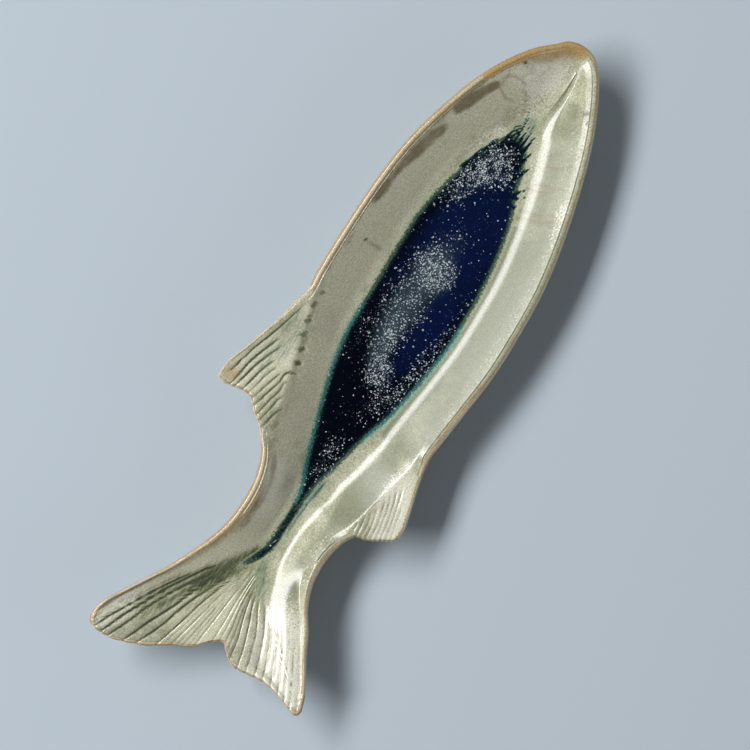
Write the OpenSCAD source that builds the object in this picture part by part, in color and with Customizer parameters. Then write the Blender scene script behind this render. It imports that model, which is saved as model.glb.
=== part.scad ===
// Fish shaped serving platter of glazed stoneware, one moulded dish with its fins and forked tail.
// It is drawn nose towards +X, dorsal fin towards +Y, standing on its foot ring at z = 0.

/* [Body] */
// Length from the widest place of the body to the tip of the nose
head_length = 188; // [160:1:215]
// Length from the waist before the tail to the widest place of the body
flank_length = 193; // [170:1:220]
// Width of the body at its widest
body_width = 136.4; // [124:0.2:150]
// Width of the waist before the tail
waist_width = 67; // [58:0.5:76]
// How far the waist lies towards the belly side of the midline
waist_offset = 5.3; // [2:0.1:8]

/* [Tail] */
// Length from the waist to the end of the upper lobe
tail_length = 118.2; // [105:0.2:132]
// Reach of the upper lobe from the midline
upper_lobe_reach = 74; // [68:0.5:82]
// Reach of the lower lobe from the midline
lower_lobe_reach = 78; // [72:0.5:86]
// Distance of the notch between the lobes below the midline
notch_offset = 10; // [6:0.5:14]
// How much higher than the rim the tips of the lobes stand
tail_tip_lift = 4; // [0:0.5:8]
// How much lower than the rim the notch of the tail is
notch_drop = 6; // [3:0.5:9]

/* [Fins] */
// Height of the dorsal fin over the line of the body
dorsal_fin_height = 38; // [30:0.5:44]
// Height of the anal fin over the line of the body
anal_fin_height = 22.2; // [17:0.2:27]
// Distance from the line of the body to the root line of the dorsal fin
dorsal_root_inset = 6.5; // [5:0.5:9]
// Distance from the line of the body to the root line of the anal fin
anal_root_inset = 4.5; // [3:0.5:7]
// Depth of the grooves between the rays of the fins and the tail
ray_depth = 1.1; // [0.4:0.1:1.6]
// How far the edge of a fin draws in at a groove
scallop_depth = 0.6; // [0.2:0.1:1]

/* [Wall] */
// Height of the rim of the body over the table
rim_height = 27; // [24:0.5:34]
// Thickness of the clay
clay_thickness = 5; // [4:0.1:6]
// Plain distance from the edge of the rim to the top of the wall
rim_run = 8; // [7:0.5:10]
// Distance across the wall, from its top to the edge of the floor
wall_run = 31; // [26:0.5:36]

/* [Foot] */
// Height of the foot ring
foot_height = 3.5; // [2.5:0.1:6]
// Width of the foot ring
foot_width = 5; // [4:0.2:7]
// Distance from the edge of the level base to the foot ring
foot_inset = 3; // [2:0.2:5]
// Radius of the foot ring's two ends
foot_end_radius = 12; // [6:0.5:14]

/* [Glaze] */
// Thickness of the glaze coats on the face and the back
coat = 0.6; // [0.4:0.1:1]
// Depth of the blue glaze in the middle of the well
pool_depth = 1.1; // [0.6:0.1:2]
// Width of the blue glaze at the widest place of the body
pool_width = 62; // [52:1:70]
// Width of the blue glaze where it runs out along the waist
channel_width = 6; // [4:0.5:8]
// Clearance between the blue glaze and the pale coat below it
pool_clearance = 0.1; // [0.05:0.01:0.3]

/* [Hidden] */

half_body = body_width / 2;
waist_back = waist_width / 2 - waist_offset;
waist_belly = waist_width / 2 + waist_offset;
bead_radius = clay_thickness / 2;
floor_top = foot_height + clay_thickness;
// Slope of the plain wall, and of the webs of the fins
wall_slope_share = 0.62;
web_slope_share = 0.08;
// Slopes at the edges of the tail: along its two sides, and across the ends of its rays
lobe_slope_share = 0.4;
ray_end_slope_share = 0.15;
// Share of the wall that curves into the floor, in the body and in the tail
cove_share = 0.4;
tail_cove_share = 0.35;
// Slope of the floor towards its middle, and the least share of a section that is floor
floor_fall_share = 0.03;
least_floor_share = 0.12;
// Rings of the upper face and of the underside: shares of the way up the wall, shares of the way
// in from the bead to the top of the wall, and angles on the bead from straight up
face_wall_shares = [0, 0.2, 0.45, 0.72];
face_web_shares = [1, 0.5];
under_wall_shares = [0.55, 0.22];
under_web_shares = [0.5, 1];
bead_angles = [0, 45, 90];
// Least reach of a fin, and of a lobe of the tail, at which its rays show
fin_ray_share = 0.2;
lobe_ray_share = 0.9;
// Number of points along the spine, of slices of the blue glaze to each of its rows, and of
// stations from one row of the outline to the next, of which every second one is a groove
SPINE_COUNT = 40;
POOL_ROW_SLICES = 3;
ROW_STATIONS = 2;

// Outline of the head, from the nose back: share of the head's length, share of half the body's
// width, and the share of the head's length at which the section meets the spine.
head_back_shares = [
    [1, -0.05, 0.931], [0.989, 0.082, 0.91], [0.957, 0.181, 0.856], [0.904, 0.338, 0.793],
    [0.824, 0.499, 0.718], [0.718, 0.651, 0.622], [0.585, 0.781, 0.511], [0.399, 0.91, 0.346],
    [0.213, 0.968, 0.191], [0, 0.986, 0]
];
head_belly_shares = [
    [0.186, -0.984, 0.165], [0.372, -0.899, 0.32], [0.585, -0.752, 0.505], [0.745, -0.605, 0.645],
    [0.878, -0.433, 0.765], [0.957, -0.291, 0.856], [0.989, -0.186, 0.91]
];
// Outline of the flank: share of the way from the widest place to the waist, share of the way
// from the waist's edge out to the body's edge, and where the section meets the spine.
flank_back_shares = [[0.155, 0.97, 0.155], [0.249, 0.945, 0.245]];
rear_back_shares = [
    [0.736, 0.383, 0.7], [0.777, 0.225, 0.75], [0.829, 0.1, 0.81], [0.907, 0.01, 0.9], [1, 0, 1]
];
rear_belly_shares = [[1, 0.005, 1], [0.933, 0.082, 0.94], [0.881, 0.245, 0.89]];
flank_belly_shares = [[0.508, 0.796, 0.525], [0.4145, 0.847, 0.42], [0.311, 0.92, 0.315],
    [0.155, 1.02, 0.155], [0, 1.027, 0]];
// Fins: share along the chord from the fin's front to its rear, share of the fin's height over
// the chord, and the share along the chord at which the ray meets the root line.
dorsal_shares = [
    [0.092, 0.152, 0.13], [0.207, 0.283, 0.17], [0.347, 0.495, 0.21], [0.486, 0.707, 0.25],
    [0.596, 0.893, 0.29], [0.673, 0.978, 0.32], [0.724, 0.998, 0.345], [0.756, 0.893, 0.4],
    [0.768, 0.738, 0.49], [0.772, 0.551, 0.59], [0.792, 0.388, 0.69], [0.845, 0.277, 0.79],
    [0.907, 0.174, 0.885], [0.963, 0.051, 0.96]
];
anal_shares = [
    [0.968, 0.06, 0.95], [0.939, 0.28, 0.89], [0.898, 0.48, 0.815], [0.853, 0.636, 0.73],
    [0.809, 0.787, 0.635], [0.771, 0.927, 0.54], [0.717, 1, 0.44], [0.63, 0.96, 0.36],
    [0.504, 0.772, 0.28], [0.342, 0.49, 0.2], [0.18, 0.224, 0.11]
];
// Sides of the tail: share of the tail's length from the waist, share of the way from the
// waist's edge out to the lobe's reach, and the share of the tail's length at the spine.
lobe_back_shares = [
    [0.101, 0.03, 0.076], [0.228, 0.123, 0.152], [0.354, 0.259, 0.207], [0.481, 0.419, 0.245],
    [0.608, 0.614, 0.27], [0.734, 0.805, 0.27], [0.835, 0.952, 0.27], [0.907, 1, 0.27]
];
lobe_belly_shares = [
    [0.705, 0.93, 0.27], [0.61, 0.775, 0.27], [0.5, 0.575, 0.25], [0.38, 0.39, 0.21],
    [0.27, 0.17, 0.165], [0.14, 0.03, 0.1]
];
// Ends of the rays: share of the tail's length, share of the way from the notch to the lobe's
// reach, and the share of the way from the notch's height up to the tip's height.
upper_end_shares = [
    [0.962, 0.988, 1], [0.991, 0.935, 0.95], [1, 0.833, 0.85], [0.988, 0.72, 0.7],
    [0.962, 0.607, 0.55], [0.931, 0.5, 0.42], [0.89, 0.405, 0.32], [0.852, 0.32, 0.24],
    [0.828, 0.238, 0.17], [0.794, 0.167, 0.1], [0.74, 0.095, 0.05], [0.706, 0.036, 0.01]
];
notch_share = 0.694;
lower_end_shares = [
    [0.715, 0.044, 0.01], [0.749, 0.11, 0.02], [0.777, 0.176, 0.03], [0.784, 0.25, 0.05],
    [0.778, 0.338, 0.08], [0.771, 0.441, 0.14], [0.765, 0.544, 0.27], [0.772, 0.647, 0.47],
    [0.785, 0.75, 0.67], [0.803, 0.846, 0.84], [0.817, 0.926, 0.95], [0.81, 0.985, 1],
    [0.78, 1, 1], [0.742, 0.982, 0.98]
];
// Line across which the lower lobe's wall rises, at its start and further out: share of the tail's
// length, share of the lobe's reach, share of the way from the floor's level up to the rim's, and
// how far the wall reaches inwards as a share of the body's wall.
lobe_line_shares = [[0.27, 0.256, 0.47, 0.16], [0.591, 0.567, 0.743, 0.42]];
// How far that wall reaches outwards as a share of the body's wall, and its slope on the line
lobe_outer_share = 0.42;
lobe_wall_slope_share = 0.47;
// Shares of the body's wall over which it comes in along and across the line, and of the plain rim
lobe_ease_along_shares = [-0.2, 0.32];
lobe_ease_across_shares = [-0.3, 0.1];
lobe_ease_rim_shares = [0.375, 1.25];
// Spine: place along the fish, share of half the body's width, and the share of the way from
// the floor's level up to the rim's level.
spine_rows = [
    [head_x(0.931), -0.066, 0.72], [head_x(0.856), -0.055, 0.46], [head_x(0.793), -0.045, 0.17],
    [head_x(0.73), -0.037, 0], [head_x(0.48), -0.015, 0], [head_x(0), -0.015, 0],
    [flank_x(0.62), -0.03, 0], [flank_x(0.81), -0.06, 0], [flank_x(0.92), -0.072, 0.12],
    [flank_x(1), -0.077, 0.2], [tail_x(0.27), -0.074, 0.32]
];
// Blue glaze: place along the fish, then the shares of half its width to the back and the belly
pool_rows = [
    [head_x(0.6), 0.06, 0.1], [head_x(0.57), 0.35, 0.3], [head_x(0.51), 0.52, 0.42],
    [head_x(0.43), 0.72, 0.58], [head_x(0.33), 0.88, 0.75], [head_x(0.2), 0.98, 0.92],
    [head_x(0), 1.03, 1.04], [flank_x(0.2), 1.02, 1.04], [flank_x(0.33), 0.97, 0.98],
    [flank_x(0.45), 0.83, 0.83], [flank_x(0.57), 0.66, 0.6], [flank_x(0.67), 0.47, 0.4],
    [flank_x(0.77), 0.28, 0.27]
];

// Points across a slice of the blue glaze, thickness of its lip, and where its channel ends and how
// narrow it is there
pool_across_shares = [0, 0.12, 0.32, 0.5, 0.68, 0.88, 1];
pool_lip_share = 0.1;
pool_end_share = 0.12;
channel_tip_share = 0.1;

function head_x(share) = flank_length + head_length * share;
function flank_x(share) = flank_length * (1 - share);
function tail_x(share) = -tail_length * share;
function lerp(a, b, t) = a + (b - a) * t;
function unit(v) = v / norm(v);
function xy(v) = [v.x, v.y];
function clamp(value, low, high) = max(low, min(high, value));
// A step from 0 to 1 as the value goes from one end to the other, smooth at both
function ease(value, from, to) = let (t = clamp((value - from) / (to - from), 0, 1))
    t * t * (3 - 2 * t);

// A value of a table of rows at a place, straight between the rows. Places fall along the table.
function between(rows, x, column, i = 0) =
    x >= rows[0].x ? rows[0][column] :
    i >= len(rows) - 1 ? rows[len(rows) - 1][column] :
    x >= rows[i + 1].x ? lerp(rows[i][column], rows[i + 1][column],
        (rows[i].x - x) / (rows[i].x - rows[i + 1].x)) :
    between(rows, x, column, i + 1);

// Spine points, from the nose end to the root of the tail
spine_front = spine_rows[0].x;
spine_rear = spine_rows[len(spine_rows) - 1].x;
spine = [for (k = [0 : SPINE_COUNT]) let (
    x = lerp(spine_front, spine_rear, k / SPINE_COUNT)
) [x, half_body * between(spine_rows, x, 1),
    lerp(floor_top, rim_height, between(spine_rows, x, 2))]];
function spine_y(x) = half_body * between(spine_rows, x, 1);
function spine_index(x) = round(SPINE_COUNT * (spine_front - x) / (spine_front - spine_rear));

// One row of the outline: edge point, top of the wall, place on the spine, height of the rim,
// slope at the rim, how far it belongs to the tail, and strength of the rays
function row(edge, top, spine_x, height, slope, tail, ray) =
    [edge.x, edge.y, top.x, top.y, spine_x, height, slope, tail, ray];
function plain_row(edge, spine_x, height, slope, tail, ray) = row(
    edge, edge + rim_run * unit([spine_x, spine_y(spine_x)] - edge),
    spine_x, height, slope, tail, ray);
function body_row(edge, spine_x) = plain_row(edge, spine_x, rim_height, wall_slope_share, 0, 0);

function head_edge(s) = [head_x(s[0]), half_body * s[1]];
function back_edge(s) = [flank_x(s[0]), lerp(waist_back, half_body, s[1])];
function belly_edge(s) = [flank_x(s[0]), -lerp(waist_belly, half_body, s[1])];

// A fin stands on the chord between two points of the body's line, on the side of its normal.
function fin_rows(shares, front, rear, height, inset, side) = let (
    along = rear - front,
    out = side * unit([along.y, -along.x])
) [for (i = [0 : len(shares) - 1]) let (
    s = shares[i],
    top = front + along * s[2] - out * inset
) row(front + along * s[0] + out * height * s[1], top, top.x + inset,
    rim_height, web_slope_share, 0, s[1] < fin_ray_share ? 0 : 1)];

dorsal_front = back_edge(flank_back_shares[1]);
dorsal_rear = back_edge(rear_back_shares[0]);
anal_front = belly_edge(flank_belly_shares[0]);
anal_rear = belly_edge(rear_belly_shares[2]);

notch_height = rim_height - notch_drop;
tip_height = rim_height + tail_tip_lift;
function lobe_rows(shares, edge, reach, side) = [for (s = shares) plain_row(
    [tail_x(s[0]), side * lerp(edge, reach, s[1])], tail_x(s[2]),
    rim_height + tail_tip_lift * pow(s[1], 2), lerp(wall_slope_share, lobe_slope_share, s[1]),
    1, s[1] < lobe_ray_share ? 0 : 1)];
function end_rows(shares, reach) = [for (s = shares) plain_row(
    [tail_x(s[0]), lerp(-notch_offset, reach, s[1])], spine_rear,
    lerp(notch_height, tip_height, s[2]), ray_end_slope_share, 1, 1)];

// The outline's rows: the back from the nose to the notch of the tail, then the belly to the nose
back_rows = concat(
    [for (s = head_back_shares) body_row(head_edge(s), head_x(s[2]))],
    [for (s = flank_back_shares) body_row(back_edge(s), flank_x(s[2]))],
    fin_rows(dorsal_shares, dorsal_front, dorsal_rear, dorsal_fin_height, dorsal_root_inset, 1),
    [for (s = rear_back_shares) body_row(back_edge(s), flank_x(s[2]))],
    lobe_rows(lobe_back_shares, waist_back, upper_lobe_reach, 1),
    end_rows(upper_end_shares, upper_lobe_reach)
);
belly_rows = concat(
    end_rows([[notch_share, 0, 0]], -lower_lobe_reach),
    end_rows(lower_end_shares, -lower_lobe_reach),
    lobe_rows(lobe_belly_shares, waist_belly, lower_lobe_reach, -1),
    [for (s = rear_belly_shares) body_row(belly_edge(s), flank_x(s[2]))],
    fin_rows(anal_shares, anal_front, anal_rear, anal_fin_height, anal_root_inset, -1),
    [for (s = flank_belly_shares) body_row(belly_edge(s), flank_x(s[2]))],
    [for (s = head_belly_shares) body_row(head_edge(s), head_x(s[2]))]
);
rows = concat(back_rows, belly_rows);

// A smooth closed curve through all rows, whose knots are spaced by the root of the distance
function knot(a, b) = sqrt(norm(xy(b) - xy(a)));
function curve(p0, p1, p2, p3, t) = let (
    a = knot(p0, p1), b = knot(p1, p2), c = knot(p2, p3),
    m1 = b * ((p1 - p0) / a - (p2 - p0) / (a + b)) + (p2 - p1),
    m2 = (p2 - p1) + b * ((p3 - p2) / c - (p3 - p1) / (b + c))
) p1 * (1 - 3 * t * t + 2 * t * t * t) + m1 * (t - 2 * t * t + t * t * t)
    + p2 * (3 * t * t - 2 * t * t * t) + m2 * (t * t * t - t * t);
count = len(rows);
stations = [for (i = [0 : count - 1], k = [0 : ROW_STATIONS - 1]) curve(
    rows[(i + count - 1) % count], rows[i], rows[(i + 1) % count], rows[(i + 2) % count],
    k / ROW_STATIONS)];
station_count = len(stations);
notch_station = ROW_STATIONS * len(back_rows);
near_spine = [for (s = stations) clamp(spine_index(s[4]), 0, SPINE_COUNT)];

// Fields of a station
function edge_of(i) = let (s = stations[i]) [s[0], s[1]];
function top_of(i) = let (s = stations[i]) [s[2], s[3]];
function rim_of(i) = stations[i][5];
function angle_of(i) = atan(max(0, stations[i][6]));
function tail_of(i) = clamp(stations[i][7], 0, 1);
function groove_of(i) = i % 2 == 1 ? clamp(stations[i][8], 0, 1) : 0;
function inward(i) = unit(top_of(i) - edge_of(i));
function across(i) = unit(xy(spine[near_spine[i]]) - top_of(i));
function span_of(i) = norm(xy(spine[near_spine[i]]) - top_of(i));
function run_of(i) = let (most = (1 - least_floor_share) * span_of(i))
    lerp(min(wall_run, most), most, tail_of(i));
function cove_of(i) = lerp(cove_share, tail_cove_share, tail_of(i));
function top_height(i) = let (a = angle_of(i), reach = norm(top_of(i) - edge_of(i)))
    rim_of(i) - bead_radius * (1 - cos(a))
    - (reach - bead_radius * (1 + sin(a))) * tan(a);
function floor_height(i) = spine[near_spine[i]].z + floor_fall_share * (span_of(i) - run_of(i));

// The bead round the rim, at an angle from straight up towards the outside
function bead(i, angle, radius) = let (
    e = edge_of(i) + inward(i) * (bead_radius + scallop_depth * groove_of(i)),
    p = e - inward(i) * radius * sin(angle)
) [p.x, p.y, rim_of(i) - bead_radius + radius * cos(angle)];

// The lower lobe's wall: a height is drawn over to it as far as the wall reaches at a place
function lobe_place(s) = [tail_x(s[0]), -lower_lobe_reach * s[1]];
lobe_start = lobe_place(lobe_line_shares[0]);
lobe_line = lobe_place(lobe_line_shares[1]) - lobe_start;
lobe_along = unit(lobe_line);
function lobe_value(t, column) = lerp(lobe_line_shares[0][column], lobe_line_shares[1][column], t);
function lobed(i, p, height, skin) = let (
    along = (p - lobe_start) * lobe_along,
    over = (p - lobe_start) * [-lobe_along.y, lobe_along.x],
    t = along / norm(lobe_line),
    inner = wall_run * lobe_value(clamp(t, 0, 1), 3),
    reach = over < 0 ? inner : wall_run * lobe_outer_share,
    w = clamp(over / reach, -1, 1),
    line_height = lerp(floor_top, rim_height, lobe_value(t, 2)),
    across_ends = wall_run * lobe_ease_across_shares - [inner, inner],
    share = ease(along, wall_run * lobe_ease_along_shares[0], wall_run * lobe_ease_along_shares[1])
        * ease(over, across_ends[0], across_ends[1])
        * ease(norm(p - edge_of(i)), rim_run * lobe_ease_rim_shares[0], rim_run * lobe_ease_rim_shares[1])
) lerp(height, line_height + lobe_wall_slope_share * reach * (w - pow(w, 3) / 3) + skin, share);

// A point of the web between the bead and the top of the wall, raised square to it by a skin
function web(i, share, skin) = let (
    a = angle_of(i),
    from = bead(i, -a, bead_radius),
    p = lerp(xy(from), top_of(i), share) + inward(i) * skin * sin(a),
    height = lerp(from.z, top_height(i), share) + skin * cos(a)
) [p.x, p.y, lobed(i, p, height, skin) - ray_depth * groove_of(i) * min(1, 2 * share)];

// A point of the wall, whose share is 0 at the floor and 1 at the top
function rise(f, q) = q < f ? q * q / (f * (2 - f)) : (2 * q - f) / (2 - f);
function rise_rate(f, q) = q < f ? 2 * q / (f * (2 - f)) : 2 / (2 - f);
function wall(i, q, skin) = let (
    f = cove_of(i), run = run_of(i), drop = top_height(i) - floor_height(i),
    a = atan(drop / run * rise_rate(f, q)),
    p = xy(spine[near_spine[i]]) - across(i) * (span_of(i) - run + run * q - skin * sin(a)),
    height = floor_height(i) + drop * rise(f, q) + skin * cos(a),
    groove = ray_depth * groove_of(i) * (tail_of(i) > 0.5 ? q : pow(q, 4))
) [p.x, p.y, lobed(i, p, height, skin) - groove];
function base_edge(i, skin) = let (
    p = xy(spine[near_spine[i]]) - across(i) * (span_of(i) - run_of(i))
) [p.x, p.y, spine[near_spine[i]].z - clay_thickness - skin];

function ring(f) = [for (i = [0 : station_count - 1]) f(i)];
// Rings of the upper face from the floor out to the edge, and of the underside from there in
function upper_rings(skin) = concat(
    [for (q = face_wall_shares) ring(function(i) wall(i, q, skin))],
    [for (share = face_web_shares) ring(function(i) web(i, share, skin))],
    [ring(function(i) bead(i, -angle_of(i), bead_radius + skin))],
    [for (angle = bead_angles) ring(function(i) bead(i, angle, bead_radius + skin))]
);
function lower_rings(skin) = let (under = -clay_thickness - skin) concat(
    [ring(function(i) bead(i, 135, bead_radius + skin))],
    [ring(function(i) bead(i, 180 - angle_of(i), bead_radius + skin))],
    [for (share = under_web_shares) ring(function(i) web(i, share, under))],
    [for (q = under_wall_shares) ring(function(i) wall(i, q, under))],
    [ring(function(i) base_edge(i, skin))]
);
function edge_ring(skin) = ring(function(i) bead(i, 90, bead_radius + skin));
function turned(rings) = [for (k = [len(rings) - 1 : -1 : 0]) rings[k]];

// Faces of a band between two rings that start at points a and b. A band that goes the other way
// takes the other diagonal, so that a coat lies on the clay face to face.
function band(a, b, back) = [for (i = [0 : station_count - 1]) let (j = (i + 1) % station_count)
    each back ? [[a + i, a + j, b + i], [a + j, b + j, b + i]]
        : [[a + i, b + j, b + i], [a + i, a + j, b + j]]];
// Faces that close a ring at point a on the spine at point b
function closing(a, b, flip) = [for (i = [0 : station_count - 1]) let (
    j = (i + 1) % station_count, from = near_spine[i], to = near_spine[j],
    faces = concat([[a + i, a + j, b + to]],
        from < to ? [for (k = [from : to - 1]) [a + i, b + k + 1, b + k]] :
        from > to ? [for (k = [from : -1 : to + 1]) [a + i, b + k - 1, b + k]] : [])
) each [for (f = faces) flip ? [f[0], f[2], f[1]] : f]];

function flat(lists) = [for (l = lists) each l];
function spine_line(skin) = [for (p = spine) [p.x, p.y, p.z + skin]];

// A closed solid from a stack of rings whose two ends are closed on lines along the spine. The
// rings go back from the one that is numbered turn.
module stack(rings, first_line, last_line, turn) {
    n = len(rings);
    points = concat(flat(rings), first_line, last_line);
    faces = concat(
        closing(0, n * station_count, true),
        flat([for (k = [0 : n - 2]) band(k * station_count, (k + 1) * station_count, k >= turn)]),
        closing((n - 1) * station_count, n * station_count + len(first_line), false));
    polyhedron(points, faces, convexity = 10);
}

// A closed solid from rings that go round an inner surface and back over an outer one
module hoop(outer, inner) {
    rings = concat(outer, turned(inner));
    n = len(rings);
    polyhedron(flat(rings), flat([for (k = [0 : n - 1]) band(
        k * station_count, ((k + 1) % n) * station_count, k >= len(outer) && k < n - 1
    )]), convexity = 10);
}

// The model's frame: the middle of the outline's box, at the table's level
xs = [for (i = [0 : station_count - 1]) edge_of(i).x];
ys = [for (i = [0 : station_count - 1]) edge_of(i).y];
middle = [(min(xs) + max(xs)) / 2, (min(ys) + max(ys)) / 2];
module placed() translate([-middle.x, -middle.y, 0]) children();

module stoneware_body() color("#c9b48f") placed() stack(
    concat(upper_rings(0), lower_rings(0)), spine_line(0), spine_line(-clay_thickness),
    len(upper_rings(0)) + len(lower_rings(0)));

module face_glaze() color("#a9a68c") placed() stack(
    concat(upper_rings(coat), turned(upper_rings(0))), spine_line(coat), spine_line(0),
    len(upper_rings(0)) - 1);

module back_glaze() color("#b3ab8e") placed() hoop(
    concat([edge_ring(coat)], lower_rings(coat)), concat([edge_ring(0)], lower_rings(0)));

// The level base: edge of the floor, between the places where the spine leaves the floor's level
level_front = spine_rows[3].x;
level_rear = spine_rows[7].x;
module level_base() intersection() {
    polygon([for (i = [0 : station_count - 1]) xy(base_edge(i, 0))]);
    translate([level_rear, -half_body]) square([level_front - level_rear, body_width]);
}
module foot_outline() offset(r = foot_end_radius, $fn = 48)
    offset(delta = -foot_inset - foot_end_radius) level_base();
module foot_ring() color("#d8c7a6") placed() linear_extrude(foot_height) difference() {
    foot_outline();
    offset(delta = -foot_width) foot_outline();
}

// The blue glaze: slices across the well, each from its back edge over the middle to its belly
// edge, with the floor of the pale coat below. Past its last row it narrows to the channel.
pool_front = pool_rows[0].x;
pool_last = pool_rows[len(pool_rows) - 1].x;
pool_rear = tail_x(pool_end_share);
function pool_edge(x, column) = let (
    wide = pool_width / 2 * between(pool_rows, x, column),
    kept = clamp(1 - (pool_last - x) / wall_run, 0, 1),
    narrow = channel_width / 2 * min(1, (x - pool_rear) / wall_run + channel_tip_share)
) max(wide * kept, narrow);
pool_last_slice = POOL_ROW_SLICES * len(pool_rows);
pool_slices = [for (k = [0 : pool_last_slice]) let (
    x = lerp(pool_front, pool_rear, k / pool_last_slice)
) [x, spine_y(x) + pool_edge(x, 1), spine_y(x) - pool_edge(x, 2)]];
// The pale coat's face on each side of the spine: the edge of the floor, and the next ring out
back_side = [for (i = [0 : notch_station]) i];
belly_side = [for (i = [station_count - 1 : -1 : notch_station]) i];
function ring_of(side, q) = [for (i = side) wall(i, q, coat)];
back_lines = [ring_of(back_side, 0), ring_of(back_side, face_wall_shares[1])];
belly_lines = [ring_of(belly_side, 0), ring_of(belly_side, face_wall_shares[1])];
function face_height(x, y) = let (
    lines = y > spine_y(x) ? back_lines : belly_lines,
    out = abs(y - spine_y(x)),
    floor_end = abs(between(lines[0], x, 1) - spine_y(x)),
    ring_end = abs(between(lines[1], x, 1) - spine_y(x)),
    spine_z = lerp(floor_top, rim_height, between(spine_rows, x, 2)) + coat,
    floor_z = between(lines[0], x, 2)
) out < floor_end ? lerp(spine_z, floor_z, out / floor_end)
    : lerp(floor_z, between(lines[1], x, 2), (out - floor_end) / (ring_end - floor_end));
function pool_point(s, v, depth) = let (
    y = lerp(s[1], s[2], v),
    width_share = min(1, (s[1] - s[2]) / pool_width)
) [s[0], y, face_height(s[0], y) + pool_clearance
    + depth * max(pool_lip_share, sqrt(width_share) * 4 * v * (1 - v))];
module cobalt_pool() color("#14233f") placed() {
    n = len(pool_across_shares);
    last = pool_last_slice;
    over = [for (s = pool_slices, v = pool_across_shares) pool_point(s, v, pool_depth)];
    under = [for (s = pool_slices, v = pool_across_shares) pool_point(s, v, 0)];
    inside = [for (k = [0 : last - 1], c = [0 : n - 2]) [k * n + c, k * n + c + 1,
        (k + 1) * n + c + 1, (k + 1) * n + c]];
    m = len(over);
    round_edge = concat(
        [for (c = [0 : n - 2]) c], [for (k = [0 : last - 1]) k * n + n - 1],
        [for (c = [n - 1 : -1 : 1]) last * n + c], [for (k = [last : -1 : 1]) k * n]);
    polyhedron(concat(over, under), concat(
        [for (f = inside) each [[f[0], f[1], f[2]], [f[0], f[2], f[3]]]],
        [for (f = inside) each [[m + f[0], m + f[2], m + f[1]], [m + f[0], m + f[3], m + f[2]]]],
        [for (k = [0 : len(round_edge) - 1]) let (
            a = round_edge[k], b = round_edge[(k + 1) % len(round_edge)]
        ) each [[a, m + a, m + b], [a, m + b, b]]]
    ), convexity = 4);
}

stoneware_body();
foot_ring();
face_glaze();
back_glaze();
cobalt_pool();
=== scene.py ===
"""A fish shaped serving platter of glazed stoneware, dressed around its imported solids.

The dish is one moulding: a long well with a raised rim, a dorsal and an anal fin, and a forked tail.
Its glazes lie on the clay as coats of their own. The face is a mottled celadon that breaks to tan on
the rim, and a cobalt glaze has run together in the well and down the waist into the tail's rays.

Lengths are in millimetres until a mesh is made. The form is drawn in the moulding's own frame, with
x = 0 at the waist. The glaze is placed in the fish's frame, measured along and across the platter.
"""

import logging
import math
from dataclasses import dataclass
from enum import Enum

import bpy
import numpy as np
from mathutils.bvhtree import BVHTree
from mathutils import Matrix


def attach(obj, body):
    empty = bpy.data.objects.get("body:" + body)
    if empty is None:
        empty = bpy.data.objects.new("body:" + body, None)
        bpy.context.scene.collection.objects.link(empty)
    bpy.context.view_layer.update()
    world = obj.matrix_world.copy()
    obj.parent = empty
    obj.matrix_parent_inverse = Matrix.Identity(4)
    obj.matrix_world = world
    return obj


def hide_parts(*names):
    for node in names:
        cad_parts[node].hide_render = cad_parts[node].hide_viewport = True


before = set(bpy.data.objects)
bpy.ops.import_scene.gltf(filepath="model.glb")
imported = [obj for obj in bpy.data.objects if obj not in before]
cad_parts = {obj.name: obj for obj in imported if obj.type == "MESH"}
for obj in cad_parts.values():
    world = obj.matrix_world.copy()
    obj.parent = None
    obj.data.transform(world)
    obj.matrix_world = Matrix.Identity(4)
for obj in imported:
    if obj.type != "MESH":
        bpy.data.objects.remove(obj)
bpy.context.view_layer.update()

LOG = logging.getLogger("platter")
MM = 0.001
BODY = "root"
# Distance in metres within which a mesh's points are merged
MERGE = 0.00001
# Step along a line when its values are eased, and how many of its points are searched at a time
EASING_STEP = 0.5
SEARCH_STRETCH = 16

Array = np.ndarray
Point = tuple[float, float]
Table = tuple[tuple[float, ...], ...]
Rows = list[tuple[float, ...]]
Socket = bpy.types.NodeSocket

# Middle of the fish's frame, in the model's frame
FISH_MIDDLE = np.array([2.1, -4.25])


class Side(Enum):
    """Which of the two coats a glaze piece is."""

    FACE = "face"
    BACK = "back"


class Fade(Enum):
    """How a mask grows from its start to its end."""

    SOFT = "SMOOTHSTEP"
    EVEN = "LINEAR"


# Tables of the moulding's outline. Each row is a place as shares of the sizes that it follows.
# Head: share of its length, of half the body's width, and of its length where it meets the spine.
HEAD_BACK = (
    (1, -0.05, 0.931), (0.989, 0.082, 0.91), (0.957, 0.181, 0.856), (0.904, 0.338, 0.793),
    (0.824, 0.499, 0.718), (0.718, 0.651, 0.622), (0.585, 0.781, 0.511), (0.399, 0.91, 0.346),
    (0.213, 0.968, 0.191), (0, 0.986, 0),
)
HEAD_BELLY = (
    (0.186, -0.984, 0.165), (0.372, -0.899, 0.32), (0.585, -0.752, 0.505), (0.745, -0.605, 0.645),
    (0.878, -0.433, 0.765), (0.957, -0.291, 0.856), (0.989, -0.186, 0.91),
)
# Spine: share of the length of the head, flank or tail, of half the body's width to the side, and of
# the way from the floor up to the rim
SPINE_HEAD = (
    (0.931, -0.13, 0.72), (0.856, -0.135, 0.46), (0.793, -0.12, 0.17), (0.73, -0.09, 0),
    (0.62, -0.04, 0), (0.48, -0.015, 0), (0, -0.015, 0),
)
SPINE_FLANK = ((0.62, -0.03, 0), (0.81, -0.06, 0), (0.92, -0.072, 0.12), (1, -0.077, 0.2))
SPINE_TAIL = ((0.27, -0.074, 0.32),)
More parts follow.
